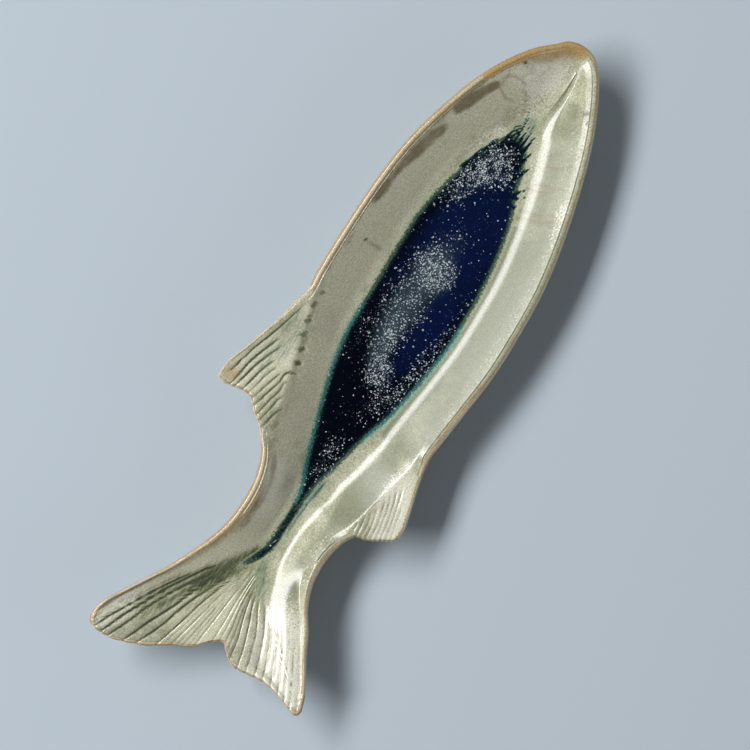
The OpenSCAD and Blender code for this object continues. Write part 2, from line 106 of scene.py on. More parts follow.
# Flank: share of the way to the waist, of the way out from the waist's edge, and the spine's share
FLANK_BACK = ((0.155, 0.97, 0.155), (0.249, 0.945, 0.245))
REAR_BACK = (
    (0.736, 0.383, 0.7), (0.777, 0.225, 0.75), (0.829, 0.1, 0.81), (0.907, 0.01, 0.9), (1, 0, 1),
)
REAR_BELLY = ((1, 0.005, 1), (0.933, 0.082, 0.94), (0.881, 0.245, 0.89))
FLANK_BELLY = (
    (0.508, 0.796, 0.525), (0.4145, 0.847, 0.42), (0.311, 0.92, 0.315), (0.155, 1.02, 0.155),
    (0, 1.027, 0),
)
# Fins: share along the chord, of the height over it, and of the chord where the ray meets the root
DORSAL = (
    (0.092, 0.152, 0.13), (0.207, 0.283, 0.17), (0.347, 0.495, 0.21), (0.486, 0.707, 0.25),
    (0.596, 0.893, 0.29), (0.673, 0.978, 0.32), (0.724, 0.998, 0.345), (0.756, 0.893, 0.4),
    (0.768, 0.738, 0.49), (0.772, 0.551, 0.59), (0.792, 0.388, 0.69), (0.845, 0.277, 0.79),
    (0.907, 0.174, 0.885), (0.963, 0.051, 0.96),
)
ANAL = (
    (0.968, 0.06, 0.95), (0.939, 0.28, 0.89), (0.898, 0.48, 0.815), (0.853, 0.636, 0.73),
    (0.809, 0.787, 0.635), (0.771, 0.927, 0.54), (0.717, 1, 0.44), (0.63, 0.96, 0.36),
    (0.504, 0.772, 0.28), (0.342, 0.49, 0.2), (0.18, 0.224, 0.11),
)
# Tail: share of its length, of the way out to the lobe's reach, and of its length at the spine
LOBE_BACK = (
    (0.101, 0.03, 0.076), (0.228, 0.123, 0.152), (0.354, 0.259, 0.207), (0.481, 0.419, 0.245),
    (0.608, 0.614, 0.27), (0.734, 0.805, 0.27), (0.835, 0.952, 0.27), (0.907, 1, 0.27),
)
LOBE_BELLY = (
    (0.705, 0.93, 0.27), (0.61, 0.775, 0.27), (0.5, 0.575, 0.25), (0.38, 0.39, 0.21),
    (0.27, 0.17, 0.165), (0.14, 0.03, 0.1),
)
# Ends of the rays: share of the tail's length, of the way out from the notch, and of the way up
UPPER_END = (
    (0.962, 0.988, 1), (0.991, 0.935, 0.95), (1, 0.833, 0.85), (0.988, 0.72, 0.7),
    (0.962, 0.607, 0.55), (0.931, 0.5, 0.42), (0.89, 0.405, 0.32), (0.852, 0.32, 0.24),
    (0.828, 0.238, 0.17), (0.794, 0.167, 0.1), (0.74, 0.095, 0.05), (0.706, 0.036, 0.01),
)
NOTCH = ((0.694, 0, 0),)
LOWER_END = (
    (0.715, 0.044, 0.01), (0.749, 0.11, 0.02), (0.777, 0.176, 0.03), (0.784, 0.25, 0.05),
    (0.778, 0.338, 0.08), (0.771, 0.441, 0.14), (0.765, 0.544, 0.27), (0.772, 0.647, 0.47),
    (0.785, 0.75, 0.67), (0.803, 0.846, 0.84), (0.817, 0.926, 0.95), (0.81, 0.985, 1),
    (0.78, 1, 1), (0.742, 0.982, 0.98),
)


def lerp(a: Array | float, b: Array | float, t: Array | float) -> Array | float:
    """The value a share t of the way from a to b."""
    return a + (b - a) * t


def ramp(values: Array, start: float, end: float) -> Array:
    """A smooth step of the values.

    Args:
        values: What is stepped.
        start: Value where the step is 0.
        end: Value where the step is 1. It may be below start.

    Returns:
        A share from 0 to 1 for each value.
    """
    t = np.clip((values - start) / (end - start), 0, 1)
    return t * t * (3 - 2 * t)


def eased(values: Array, line: Array, width: float) -> Array:
    """Values along a closed line, with their sudden changes spread out.

    Args:
        values: A row for each point of the line.
        line: The line's points, as rows of x and y.
        width: Length of the line over which a value is averaged.

    Returns:
        The eased rows.
    """
    gaps = np.linalg.norm(np.diff(np.vstack([line, line[:1]]), axis=0), axis=1)
    place = np.concatenate([[0], np.cumsum(gaps)])
    even = np.arange(0, place[-1], EASING_STEP)
    kernel = np.hanning(2 * int(width / EASING_STEP / 2) + 1)
    result = []
    for column in values.reshape(len(values), -1).T:
        plain = np.interp(even, place, np.append(column, column[0]))
        smooth = np.convolve(np.pad(plain, len(kernel) // 2, "wrap"), kernel / kernel.sum(), "valid")
        result.append(np.interp(place[:-1], even, smooth, period=place[-1]))
    return np.stack(result, -1).reshape(values.shape)


def unit(vectors: Array) -> Array:
    """The vectors with a length of one."""
    return vectors / np.maximum(np.linalg.norm(vectors, axis=-1, keepdims=True), 1e-9)


def smooth_line(points: Array, step: float, closed: bool = False) -> Array:
    """A smooth line through given points.

    Args:
        points: Rows whose first two values are a place.
        step: Distance from one point of the line to the next.
        closed: Whether the line returns to its start.

    Returns:
        Rows of the line, closely spaced.
    """
    rows = np.asarray(points, float)
    if closed:
        rows = np.vstack([rows[-1:], rows, rows[:2]])
    else:
        rows = np.vstack([2 * rows[:1] - rows[1:2], rows, 2 * rows[-1:] - rows[-2:-1]])
    line = []
    for i in range(1, len(rows) - 2):
        count = max(2, int(np.linalg.norm(rows[i + 1, :2] - rows[i, :2]) / step))
        t = np.arange(count)[:, None] / count
        line.append(hermite(rows[i - 1:i], rows[i:i + 1], rows[i + 1:i + 2], rows[i + 2:i + 3], t))
    if not closed:
        line.append(rows[-2:-1])
    return np.vstack(line)


def hermite(p0: Array, p1: Array, p2: Array, p3: Array, t: Array) -> Array:
    """Part of the smooth line whose knots are spaced by the root of their distance.

    Args:
        p0: Knot before the part.
        p1: Knot where the part starts.
        p2: Knot where the part ends.
        p3: Knot after the part.
        t: Shares of the way from p1 to p2.

    Returns:
        A row for each share.
    """
    a, b, c = (
        np.sqrt(np.linalg.norm(q[:, :2] - p[:, :2], axis=1))[:, None]
        for p, q in ((p0, p1), (p1, p2), (p2, p3))
    )
    m1 = b * ((p1 - p0) / a - (p2 - p0) / (a + b)) + (p2 - p1)
    m2 = (p2 - p1) + b * ((p3 - p2) / c - (p3 - p1) / (b + c))
    return (
        p1 * (1 - 3 * t**2 + 2 * t**3) + m1 * (t - 2 * t**2 + t**3)
        + p2 * (3 * t**2 - 2 * t**3) + m2 * (t**3 - t**2)
    )


def line_distance(places: Array, line: Array, reach: float = math.inf) -> tuple[Array, Array]:
    """How far places are from a line, and which share of the line is nearest.

    Args:
        places: Places as rows of x and y.
        line: Closely spaced points of the line.
        reach: How far from the line it is searched for. Places beyond it keep this distance.

    Returns:
        The distances, and the shares along the line from 0 to 1.
    """
    start, along = line[:-1, :2], np.diff(line[:, :2], axis=0)
    length = np.maximum((along**2).sum(1), 1e-12)
    nearest = np.full(len(places), float(reach) ** 2)
    share = np.zeros(len(places))
    for first in range(0, len(start), SEARCH_STRETCH):
        part = line[first:first + SEARCH_STRETCH + 1, :2]
        low, high = part.min(0) - reach, part.max(0) + reach
        near = np.flatnonzero(((places >= low) & (places <= high)).all(1))
        for k in range(first, min(first + SEARCH_STRETCH, len(start))) if len(near) else ():
            to = places[near] - start[k]
            t = np.clip(to @ along[k] / length[k], 0, 1)
            gap = ((to - t[:, None] * along[k]) ** 2).sum(1)
            closer = gap < nearest[near]
            nearest[near[closer]] = gap[closer]
            share[near[closer]] = (k + t[closer]) / len(start)
    return np.sqrt(nearest), share


def inside(places: Array, outline: Array) -> Array:
    """Finds the places that lie inside a closed outline.

    Args:
        places: Places as rows of x and y.
        outline: The outline's corners.

    Returns:
        Whether each place is inside.
    """
    found = np.zeros(len(places), bool)
    x, y = places[:, 0], places[:, 1]
    for a, b in zip(outline, np.roll(outline, -1, axis=0)):
        if a[1] == b[1]:
            continue
        cross = (a[1] > y) != (b[1] > y)
        found ^= cross & (x < a[0] + (y - a[1]) * (b[0] - a[0]) / (b[1] - a[1]))
    return found


@dataclass(frozen=True)
class Groove:
    """One groove between two rays, pressed into the moulding.

    Attributes:
        points: Places along it in the fish's frame, listed from its outer end inwards.
        width: How far from its middle it is half as deep.
        depth: Its depth in the middle.
        stain: How much dark glaze has gathered in it, from 0 to 1. In the short grooves at the dorsal fin's
            root it is partly painted shade.
        runs_out: Whether it runs out over the dish's edge. Otherwise it is shallow at both ends.
    """

    points: tuple[tuple[float, float], ...]
    width: float = 0.8
    depth: float = 0.9
    stain: float = 0.3
    runs_out: bool = True


TAIL_GROOVES = (
    Groove(((-236, 72.4), (-220, 65.4), (-200, 54.4), (-182, 43.4), (-168, 35)), 0.5, 0.3, 0.08, False),
    Groove(((-234, 70.4), (-218, 63), (-198, 51.4), (-180, 40), (-164, 30.6)), 0.5, 0.35, 0.12, False),
    Groove(((-238, 70), (-222, 62.5), (-205, 52.5), (-190, 43)), 0.5, 0.4, 0.2),
    Groove(((-240, 68), (-225, 60.5), (-207, 50), (-192, 40.5)), 0.5, 0.45, 0.2),
    Groove(((-242, 66.5), (-228, 59.5), (-211, 50), (-195, 40), (-182, 32)), 0.5, 0.5, 0.25),
    Groove(((-247, 66.5), (-239, 63), (-231, 58.5), (-213, 48.5), (-195, 37.5), (-180, 28)), 0.7, 0.8, 0.55),
    Groove(((-245, 60), (-236, 56.5), (-222, 49.5), (-208, 42.5), (-195, 35), (-180, 25), (-165, 13)),
           0.8, 1, 0.6),
    Groove(((-244, 54), (-234, 49.8), (-222, 45), (-210, 39), (-198, 32), (-186, 24), (-170, 13)),
           0.8, 1, 0.55),
    Groove(((-241, 43.5), (-231, 39.5), (-220, 34), (-209, 29), (-198, 25), (-186, 19), (-170, 10)),
           0.8, 1, 0.6),
    Groove(((-238, 35), (-228, 30.5), (-216, 27), (-205, 23), (-194, 18), (-180, 11.5), (-166, 5)),
           0.8, 1, 0.5),
    Groove(((-231, 24), (-217, 20), (-205, 17), (-194, 13.3), (-183, 9.5), (-170, 4.5)), 0.6, 0.8, 0.45),
    Groove(((-228, 20), (-214, 16), (-200, 12.5), (-184, 8), (-168, 4)), 0.5, 0.4, 0.15),
    Groove(((-226, 16), (-211, 12.5), (-197, 9.5), (-182, 6), (-166, 3)), 0.6, 0.6, 0.22),
    Groove(((-224, 12.5), (-209, 9.6), (-193, 7), (-176, 4), (-162, 1)), 0.5, 0.4, 0.12),
    Groove(((-222, 9.5), (-206, 6.8), (-190, 4.5), (-172, 2), (-158, -0.5)), 0.6, 0.5, 0.2),
    Groove(((-220, 6.3), (-205, 4.4), (-189, 2.6), (-172, 0.4)), 0.5, 0.35, 0.1),
    Groove(((-218, 3.5), (-204, 2), (-188, 0.5), (-170, -1.6), (-156, -3)), 0.6, 0.5, 0.15),
    Groove(((-214, -4), (-202, -4), (-188, -3.5), (-172, -4), (-158, -5)), 0.6, 0.5, 0.15),
    Groove(((-215, -8), (-202, -7.2), (-188, -5.8), (-172, -5.6), (-158, -6.4)), 0.5, 0.4, 0.15),
    Groove(((-216, -12), (-203, -10.5), (-190, -8), (-176, -7.4), (-162, -7.8)), 0.6, 0.5, 0.2),
    Groove(((-219, -16), (-205, -14), (-192, -11), (-178, -9.4), (-163, -9.2)), 0.5, 0.4, 0.15),
    Groove(((-222, -20), (-208, -17.5), (-195, -13.5), (-182, -10.5), (-168, -10)), 0.65, 0.65, 0.3),
    Groove(((-224, -27), (-210, -23.5), (-197, -19), (-184, -14), (-170, -11.5)), 0.65, 0.7, 0.35),
    Groove(((-224, -33.5), (-210, -29.5), (-197, -25), (-184, -18), (-170, -13)), 0.6, 0.65, 0.3),
    Groove(((-223, -40), (-210, -35.7), (-197, -30.5), (-184, -23.5), (-172, -16.5)), 0.7, 0.7, 0.34),
    Groove(((-223, -46), (-210, -41.3), (-197, -35.7), (-185, -29)), 0.7, 0.7, 0.34),
    Groove(((-223, -52.5), (-210, -47), (-197, -41), (-184, -33.5)), 0.7, 0.7, 0.34),
    Groove(((-224, -59), (-210, -52.3), (-197, -45.8), (-182, -37)), 0.7, 0.7, 0.34),
    Groove(((-225.5, -65), (-210, -57), (-196, -49.8), (-181, -41)), 0.6, 0.7, 0.25),
    Groove(((-226.5, -70), (-211, -62), (-196, -54), (-182, -45.5)), 0.6, 0.7, 0.3),
    Groove(((-224, -74), (-210, -67), (-196, -59), (-184, -51)), 0.5, 0.5, 0.25),
)
DORSAL_GROOVES = (
    Groove(((-52, 79.3), (-40, 76.3), (-28, 72), (-14, 67.3), (0, 63.5), (9, 61.3)), 0.6, 0.77, 0.68),
    Groove(((-58, 75), (-48, 73.5), (-38, 70.3), (-28, 66.5), (-20, 63.5)), 0.7, 0.77, 0.6),
    Groove(((-59, 71.5), (-48, 69), (-39, 65.8), (-31, 62.5), (-24, 59)), 0.7, 0.77, 0.6),
    Groove(((-60, 66.5), (-50, 64.3), (-42, 61.8), (-35, 58)), 0.7, 0.77, 0.52),
    Groove(((-61, 62), (-53, 60.3), (-45, 58), (-38, 54.5)), 0.7, 0.68, 0.34),
    Groove(((-64, 58), (-55, 55.8), (-47, 53.3), (-40, 50.5)), 0.7, 0.68, 0.34),
    Groove(((-67, 54.5), (-58, 52.2), (-50, 49.8), (-42, 49), (-38, 46.5), (-35.8, 41.5)), 0.7, 0.77, 0.45),
    Groove(((-71, 50), (-61, 48.3), (-53, 46.3), (-47.5, 46.5), (-45, 44.5), (-44, 40.5)), 0.7, 0.77, 0.41),
    Groove(((-74, 46.5), (-65, 45), (-58, 43.8), (-54.5, 41.5), (-52.5, 38.8)), 0.7, 0.68, 0.38),
    Groove(((-78, 43), (-70, 41.5), (-64, 39.5), (-60.5, 36)), 0.8, 0.68, 0.38),
    Groove(((-79, 37), (-74, 36.3), (-70, 34.5)), 1.6, 0.4, 0.2, False),
    # These short grooves at the fin's root carry dark stain that is partly painted shade in their notches
    Groove(((-33, 48.5), (-31.4, 46), (-29.5, 43.4)), 2, 0.8, 0.4, False),
    Groove(((-24.6, 50), (-22.5, 48.6), (-19, 46.8)), 2, 0.8, 0.38, False),
    Groove(((-22.5, 51), (-21.6, 49), (-21.2, 46.6)), 1.4, 0.7, 0.34, False),
    Groove(((-16, 54.6), (-13.6, 52.6), (-11.4, 49.8)), 1.7, 0.8, 0.4, False),
    Groove(((-13.2, 54), (-11.4, 52), (-9, 51)), 1.3, 0.6, 0.34, False),
    Groove(((-5.8, 56.6), (-3.6, 54.6), (-1, 52.6)), 1.8, 0.7, 0.38, False),
    Groove(((-2.4, 56.6), (-0.4, 55.2), (1.6, 53.6)), 1.3, 0.5, 0.32, False),
    Groove(((4, 57.4), (7.4, 56.8), (11, 56.4)), 1.8, 0.5, 0.34, False),
    Groove(((14, 57.6), (17.4, 56.8), (20, 55.4)), 2, 0.5, 0.32, False),
    Groove(((-40.4, 47.4), (-38.6, 44.6), (-37.2, 41.6)), 1, 0.6, 0.32, False),
)
ANAL_GROOVES = tuple(
    Groove(points, 0.55, depth, stain) for points, depth, stain in (
        (((-107, -44.5), (-102, -44.3), (-97.5, -43.8)), 0.52, 0.24),
        (((-106, -47.8), (-98, -46.8), (-91, -45.2)), 0.68, 0.24),
        (((-105, -51), (-95, -49.8), (-86, -46.8)), 0.68, 0.24),
        (((-104, -54), (-93, -52.2), (-80.5, -48.6)), 0.75, 0.24),
        (((-102.5, -57), (-91, -55.2), (-80, -52.2), (-72.5, -50.2)), 0.75, 0.27),
        (((-101, -60), (-90, -57.8), (-78, -55), (-69.5, -51.8)), 0.75, 0.27),
        (((-99.5, -62.8), (-88, -60.5), (-76, -57.7), (-64.5, -53.6)), 0.75, 0.27),
        (((-98, -65.5), (-87, -63), (-75, -60.3), (-60, -56.2)), 0.68, 0.24),
        (((-96, -68), (-85, -65.8), (-73, -63.2)), 0.52, 0.18),
    )
)


class GrooveField:
    """All grooves of the fins and the tail, asked for at any place."""

    # How far a groove is felt, how far it runs out, its share that fades, and the step of its line
    SEARCH = 7.0
    OVERRUN = 8.0
    FADE = 0.22
    STEP = 1.2

    def __init__(self, grooves: tuple[Groove, ...]) -> None:
        """Draws each groove's line once.

        Args:
            grooves: The grooves to press in.
        """
        self.lines = []
        for groove in grooves:
            points = np.array(groove.points, float)
            if groove.runs_out:
                points = np.vstack([points[0] + self.OVERRUN * unit(points[0] - points[1]), points])
            self.lines.append((groove, smooth_line(points, self.STEP)))

    def at(self, places: Array) -> tuple[Array, Array, Array]:
        """Depth and stain of the grooves.

        Args:
            places: Places in the fish's frame.

        Returns:
            The depth in millimetres, the stain from 0 to 1, and the depth of the grooves nearby, for
            each place.
        """
        depth, stain, nearby = np.zeros((3, len(places)))
        for groove, line in self.lines:
            low, high = line.min(0) - self.SEARCH, line.max(0) + self.SEARCH
            near = np.flatnonzero(((places > low) & (places < high)).all(1))
            if not len(near):
                continue
            gap, share = line_distance(places[near], line, self.SEARCH)
            close = 1 - (gap / self.SEARCH) ** 2
            fade = ramp(share, 1, 1 - self.FADE)
            if not groove.runs_out:
                fade *= ramp(share, 0, self.FADE)
            shape = groove.depth * fade * close / (1 + (gap / groove.width) ** 2)
            dark = groove.stain * fade * close / (1 + (gap / groove.width) ** 4)
            depth[near] = np.maximum(depth[near], shape)
            stain[near] = np.maximum(stain[near], dark)
            nearby[near] = np.maximum(nearby[near], groove.depth * np.sqrt(close))
        return depth, stain, nearby


@dataclass(frozen=True)
class Station:
    """The sections of the dish, from its spine out to its edge, as one array for each value."""

    edge: Array
    top: Array
    spine: Array
    spine_height: Array
    seam: Array
    seam_height: Array
    rim: Array
    angle: Array
    tail: Array
    scallop: Array


@dataclass(frozen=True)
class LobeWall:
    """The lower tail lobe's wall, which rises evenly across a straight line over the rays.

    Attributes:
        start: Where the line starts, in the fish's frame.
        turn: The line's direction, in degrees from the fish's axis.
        height: Height of the clay on the line at its start.
        climb: How much the line climbs for each millimetre.
        inner: How far the wall reaches inwards from the line, at its start and its end.
        outer: How far the wall reaches outwards from the line.
        length: Length over which the wall grows wider.
        slope: The wall's slope on the line.
        fade: How far before and behind its start the wall fades in.
        merge: How far beyond its inner edge and within it the wall merges into the floor.
    """

    start: tuple[float, float] = (-165.0, -20.0)
    turn: float = 212.6
    height: float = 17.2
    climb: float = 0.112
    inner: tuple[float, float] = (5.0, 13.0)
    outer: float = 13.0
    length: float = 45.0
    slope: float = 0.47
    fade: float = 16.0
    merge: tuple[float, float] = (9.0, 3.0)

    def at(self, places: Array) -> tuple[Array, Array]:
        """The wall's form at any places.

        Args:
            places: Places in the fish's frame.

        Returns:
            The clay's height and the wall's share in the form, for each place.
        """
        a = math.radians(self.turn)
        to = places - self.start
        along = to[:, 0] * math.cos(a) + to[:, 1] * math.sin(a)
        over = to[:, 1] * math.cos(a) - to[:, 0] * math.sin(a)
        inner = lerp(*self.inner, np.clip(along / self.length, 0, 1))
        reach = np.where(over < 0, inner, self.outer)
        w = np.clip(over / reach, -1, 1)
        height = self.height + self.climb * along + self.slope * reach * (w - w**3 / 3)
        share = ramp(along, -self.fade, self.fade)
        return height, share * ramp(over, -inner - self.merge[0], -inner + self.merge[1])


@dataclass(frozen=True)
class DishForm:
    """The moulding's sizes, as the solids have them, and its surfaces."""

    # Points of the spine, and how many of them its smoothing takes in
    SPINE_POINTS = 401
    SPINE_WINDOW = 31
    # Places tried along each row of the outline, and how many of them the change of spacing takes in
    TRIES = 40
    TRIES_WINDOW = 121

    head_length: float = 188.0
    flank_length: float = 193.0
    body_width: float = 136.4
    waist_width: float = 67.0
    waist_offset: float = 5.3
    tail_length: float = 118.2
    upper_reach: float = 74.0
    lower_reach: float = 78.0
    notch_offset: float = 10.0
    tip_lift: float = 4.0
    notch_drop: float = 6.0
    dorsal_height: float = 38.0
    anal_height: float = 22.2
    dorsal_inset: float = 6.5
    anal_inset: float = 4.5
    scallop_depth: float = 0.6
    # Share of the way from the edge to the wall's top where a groove still draws the edge in
    scallop_reach: float = 0.45
    rim_height: float = 27.0
    clay: float = 5.0
    rim_run: float = 8.0
    wall_run: float = 31.0
    foot_height: float = 3.5
    wall_slope: float = 0.62
    web_slope: float = 0.08
    lobe_slope: float = 0.4
    ray_end_slope: float = 0.15
    cove: float = 0.4
    tail_cove: float = 0.35
    floor_fall: float = 0.03
    least_floor: float = 0.12
    lip_angle: float = math.radians(46)
    # The even band low on the wall: its slope, and share of the wall over which it steepens
    band_slope: float = 0.43
    band_blend: float = 0.12
    # Length of the outline over which the body's wall is eased
    blend: float = 34.0
    # Step of the places on the spine, so that the points of both halves meet there
    seam_step: float = 3.2
    # Distance from one station to the next on the rays and on the plain body
    fine_step: float = 0.6
    plain_step: float = 2.4
    # A web less steep than this has rays, and the fine step holds where this share of the places
    # nearby has them
    rayed_slope: float = 0.52
    rayed_share: float = 2 / 3

    @property
    def half(self) -> float:
        """Half the width of the body."""
        return self.body_width / 2

    @property
    def bead(self) -> float:
        """Radius of the rim's bead."""
        return self.clay / 2

    @property
    def floor_top(self) -> float:
        """Height of the clay's floor over the table."""
        return self.foot_height + self.clay

    def head_x(self, share: float) -> float:
        """Place along the head."""
        return self.flank_length + self.head_length * share

    def flank_x(self, share: float) -> float:
        """Place along the flank."""
        return self.flank_length * (1 - share)

    def tail_x(self, share: float) -> float:
        """Place along the tail."""
        return -self.tail_length * share

    def spine_line(self) -> tuple[Array, Array, Array]:
        """The line along the middle of the well, with its corners smoothed.

        Returns:
            Its places along the moulding, its sideways offsets, and its heights.
        """
        rows = np.array(
            [(self.head_x(share), *values) for share, *values in SPINE_HEAD]
            + [(self.flank_x(share), *values) for share, *values in SPINE_FLANK]
            + [(self.tail_x(share), *values) for share, *values in SPINE_TAIL]
        )[::-1]
        x = np.linspace(rows[0, 0], rows[-1, 0], self.SPINE_POINTS)
        kernel = np.hanning(self.SPINE_WINDOW)
        kernel /= kernel.sum()
        half = self.SPINE_WINDOW // 2
        values = []
        for column in (1, 2):
            plain = np.interp(x, rows[:, 0], rows[:, column])
            ends = np.concatenate([
                2 * plain[0] - plain[half:0:-1], plain, 2 * plain[-1] - plain[-2:-half - 2:-1]
            ])
            values.append(np.convolve(ends, kernel, "valid"))
        return x, self.half * values[0], lerp(self.floor_top, self.rim_height, values[1])

    def rows(self) -> Array:
        """The rows of the closed outline, from the nose along the dorsal side and back."""
        return OutlineRows(self).round()

    def outline(self, places: Array) -> Array:
        """Rows at any places along the closed outline.

        Args:
            places: The places, counted in rows from the nose.

        Returns:
            A row for each place.
        """
        rows = self.rows()
        i = np.floor(places).astype(int)
        near = [rows[(i + k) % len(rows)] for k in (-1, 0, 1, 2)]
        return hermite(*near, (places - i)[:, None])

    def middle(self) -> Array:
        """Middle of the solids' outline, which has two stations for each row."""
        edge = self.outline(np.arange(0, len(self.rows()), 0.5))[:, :2]
        return (edge.min(0) + edge.max(0)) / 2

    def stations(self, grooves: GrooveField) -> Station:
        """Sections spaced closely where there are rays, and further apart on the plain body.

        Args:
            grooves: The grooves, which draw the edge in where they reach it.

        Returns:
            The sections' values.
        """
        count = len(self.rows())
        fine = np.linspace(0, count, count * self.TRIES + 1)
        rows = self.outline(fine)
        gap = np.linalg.norm(np.diff(rows[:, :2], axis=0), axis=1)
        rayed = (rows[:, 6] < self.rayed_slope).astype(float)
        kernel = np.hanning(self.TRIES_WINDOW)
        rayed = np.convolve(np.pad(rayed, len(kernel) // 2, "wrap"), kernel / kernel.sum(), "valid")
        step = lerp(self.plain_step, self.fine_step, np.clip(rayed / self.rayed_share, 0, 1))[:-1]
        total = np.concatenate([[0], np.cumsum(gap / step)])
        number = int(round(total[-1]))
        rows = self.outline(np.interp(np.arange(number) * total[-1] / number, total, fine))
        spine_x, spine_y, spine_z = self.spine_line()
        plain = 1 - np.clip(rows[:, 7:], 0, 1)
        rows[:, 2:5] = lerp(rows[:, 2:5], eased(rows[:, 2:5], rows[:, 2:4], self.blend), plain)
        x = np.clip(rows[:, 4], spine_x[0], spine_x[-1])
        seam_x = np.clip(np.round(x / self.seam_step) * self.seam_step, spine_x[0], spine_x[-1])
        edge = rows[:, :2]
        depth = grooves.at(edge - self.middle() - FISH_MIDDLE)[0]
        within = lerp(edge, rows[:, 2:4], self.scallop_reach)
        inner = grooves.at(within - self.middle() - FISH_MIDDLE)[0]
        return Station(
            edge=edge, top=rows[:, 2:4],
            spine=np.stack([x, np.interp(x, spine_x, spine_y)], 1),
            spine_height=np.interp(x, spine_x, spine_z),
            seam=np.stack([seam_x, np.interp(seam_x, spine_x, spine_y)], 1),
            seam_height=np.interp(seam_x, spine_x, spine_z),
            rim=rows[:, 5], angle=np.arctan(np.maximum(rows[:, 6], 0)),
            tail=np.clip(rows[:, 7], 0, 1),
            scallop=self.scallop_depth * np.clip(np.maximum(depth, inner), 0, 1),
        )


class OutlineRows:
    """Works out the rows of the outline from its tables of shares.

    A row holds the edge, the top of the wall, the place on the spine, the rim's height, the web's
    slope and the share of tail. A side is 1 for the dorsal side and -1 for the belly side.
    """

    def __init__(self, form: DishForm) -> None:
        """Takes over the moulding's sizes.

        Args:
            form: The sizes.
        """
        self.form = form
        self.spine_x, self.spine_y, _ = form.spine_line()
        self.waist = {side: form.waist_width / 2 - side * form.waist_offset for side in (1, -1)}

    def plain(self, edge: Point, x: float, values: tuple[float, ...]) -> tuple[float, ...]:
        """A row whose wall ends a plain distance from the edge.

        Args:
            edge: The place on the edge.
            x: The place on the spine.
            values: The rim's height, the web's slope and the share of tail.

        Returns:
            The row.
        """
        to = np.array([x, np.interp(x, self.spine_x, self.spine_y)]) - edge
        top = np.array(edge) + self.form.rim_run * to / np.linalg.norm(to)
        return (*edge, *top, x, *values)

    def body(self, edge: Point, x: float) -> tuple[float, ...]:
        """A plain row of the body."""
        return self.plain(edge, x, (self.form.rim_height, self.form.wall_slope, 0))

    def head(self, table: Table) -> Rows:
        """Rows of one side of the head."""
        form = self.form
        return [self.body((form.head_x(s[0]), form.half * s[1]), form.head_x(s[2])) for s in table]

    def flank_edge(self, shares: tuple[float, ...], side: int) -> Point:
        """A place on the flank's edge."""
        return self.form.flank_x(shares[0]), side * lerp(self.waist[side], self.form.half, shares[1])

    def flank(self, table: Table, side: int) -> Rows:
        """Rows of one side of the flank."""
        return [self.body(self.flank_edge(s, side), self.form.flank_x(s[2])) for s in table]

    def fin(self, table: Table, chord: tuple[Point, Point], height: float, inset: float,
            side: int) -> Rows:
        """Rows of a fin that stands on the chord between two places of the flank.

        Args:
            table: The fin's shares.
            chord: The two places.
            height: Height of the fin over the chord.
            inset: How far within the chord the wall's top is.
            side: The fin's side.

        Returns:
            The rows.
        """
        front, rear = np.array(chord[0]), np.array(chord[1])
        along = rear - front
        out = side * unit(np.array([along[1], -along[0]]))
        rows = []
        for s in table:
            edge = front + along * s[0] + out * height * s[1]
            top = front + along * s[2] - out * inset
            rows.append((*edge, *top, top[0] + inset, self.form.rim_height, self.form.web_slope, 0))
        return rows

    def lobe(self, table: Table, reach: float, side: int) -> Rows:
        """Rows of one side of the tail, whose wall flattens towards the lobe's tip.

        Args:
            table: The lobe's shares.
            reach: How far the lobe reaches from the midline.
            side: The lobe's side.

        Returns:
            The rows.
        """
        form = self.form
        rows = []
        for s in table:
            edge = (form.tail_x(s[0]), side * lerp(self.waist[side], reach, s[1]))
            height = form.rim_height + form.tip_lift * s[1] ** 2
            slope = lerp(form.wall_slope, form.lobe_slope, s[1])
            rows.append(self.plain(edge, form.tail_x(s[2]), (height, slope, 1)))
        return rows

    def ends(self, table: Table, reach: float) -> Rows:
        """Rows across the ends of the tail's rays.

        Args:
            table: The shares of the ends.
            reach: Where the lobe's tip is, to the side of the midline.

        Returns:
            The rows.
        """
        form = self.form
        rows = []
        for s in table:
            edge = (form.tail_x(s[0]), lerp(-form.notch_offset, reach, s[1]))
            height = lerp(form.rim_height - form.notch_drop, form.rim_height + form.tip_lift, s[2])
            rows.append(self.plain(edge, self.spine_x[0], (height, form.ray_end_slope, 1)))
        return rows

    def round(self) -> Array:
        """All rows in their order round the outline.

        Returns:
            The rows.
        """
        form = self.form
        dorsal = (self.flank_edge(FLANK_BACK[1], 1), self.flank_edge(REAR_BACK[0], 1))
        anal = (self.flank_edge(FLANK_BELLY[0], -1), self.flank_edge(REAR_BELLY[2], -1))
        return np.array(
            self.head(HEAD_BACK) + self.flank(FLANK_BACK, 1)
            + self.fin(DORSAL, dorsal, form.dorsal_height, form.dorsal_inset, 1)
            + self.flank(REAR_BACK, 1) + self.lobe(LOBE_BACK, form.upper_reach, 1)
            + self.ends(UPPER_END, form.upper_reach) + self.ends(NOTCH + LOWER_END, -form.lower_reach)
            + self.lobe(LOBE_BELLY, form.lower_reach, -1) + self.flank(REAR_BELLY, -1)
            + self.fin(ANAL, anal, form.anal_height, form.anal_inset, -1)
            + self.flank(FLANK_BELLY, -1) + self.head(HEAD_BELLY)
        )


# The even band low on the body's wall: places along the fish, its width, and how steep the wall is
# over it, as a share of the wall's mean slope
BANDS = (
    (-100, 0.6, 1.25), (-88, 1.4, 1.17), (-60, 1.4, 1.17), (-30, 1, 1.22), (0, 0.6, 1.25), (60, 0.9, 1.25),
    (125, 1.6, 1.25), (150, 3.2, 1.25), (200, 3.2, 1.25), (217, 2.4, 1.25),
)


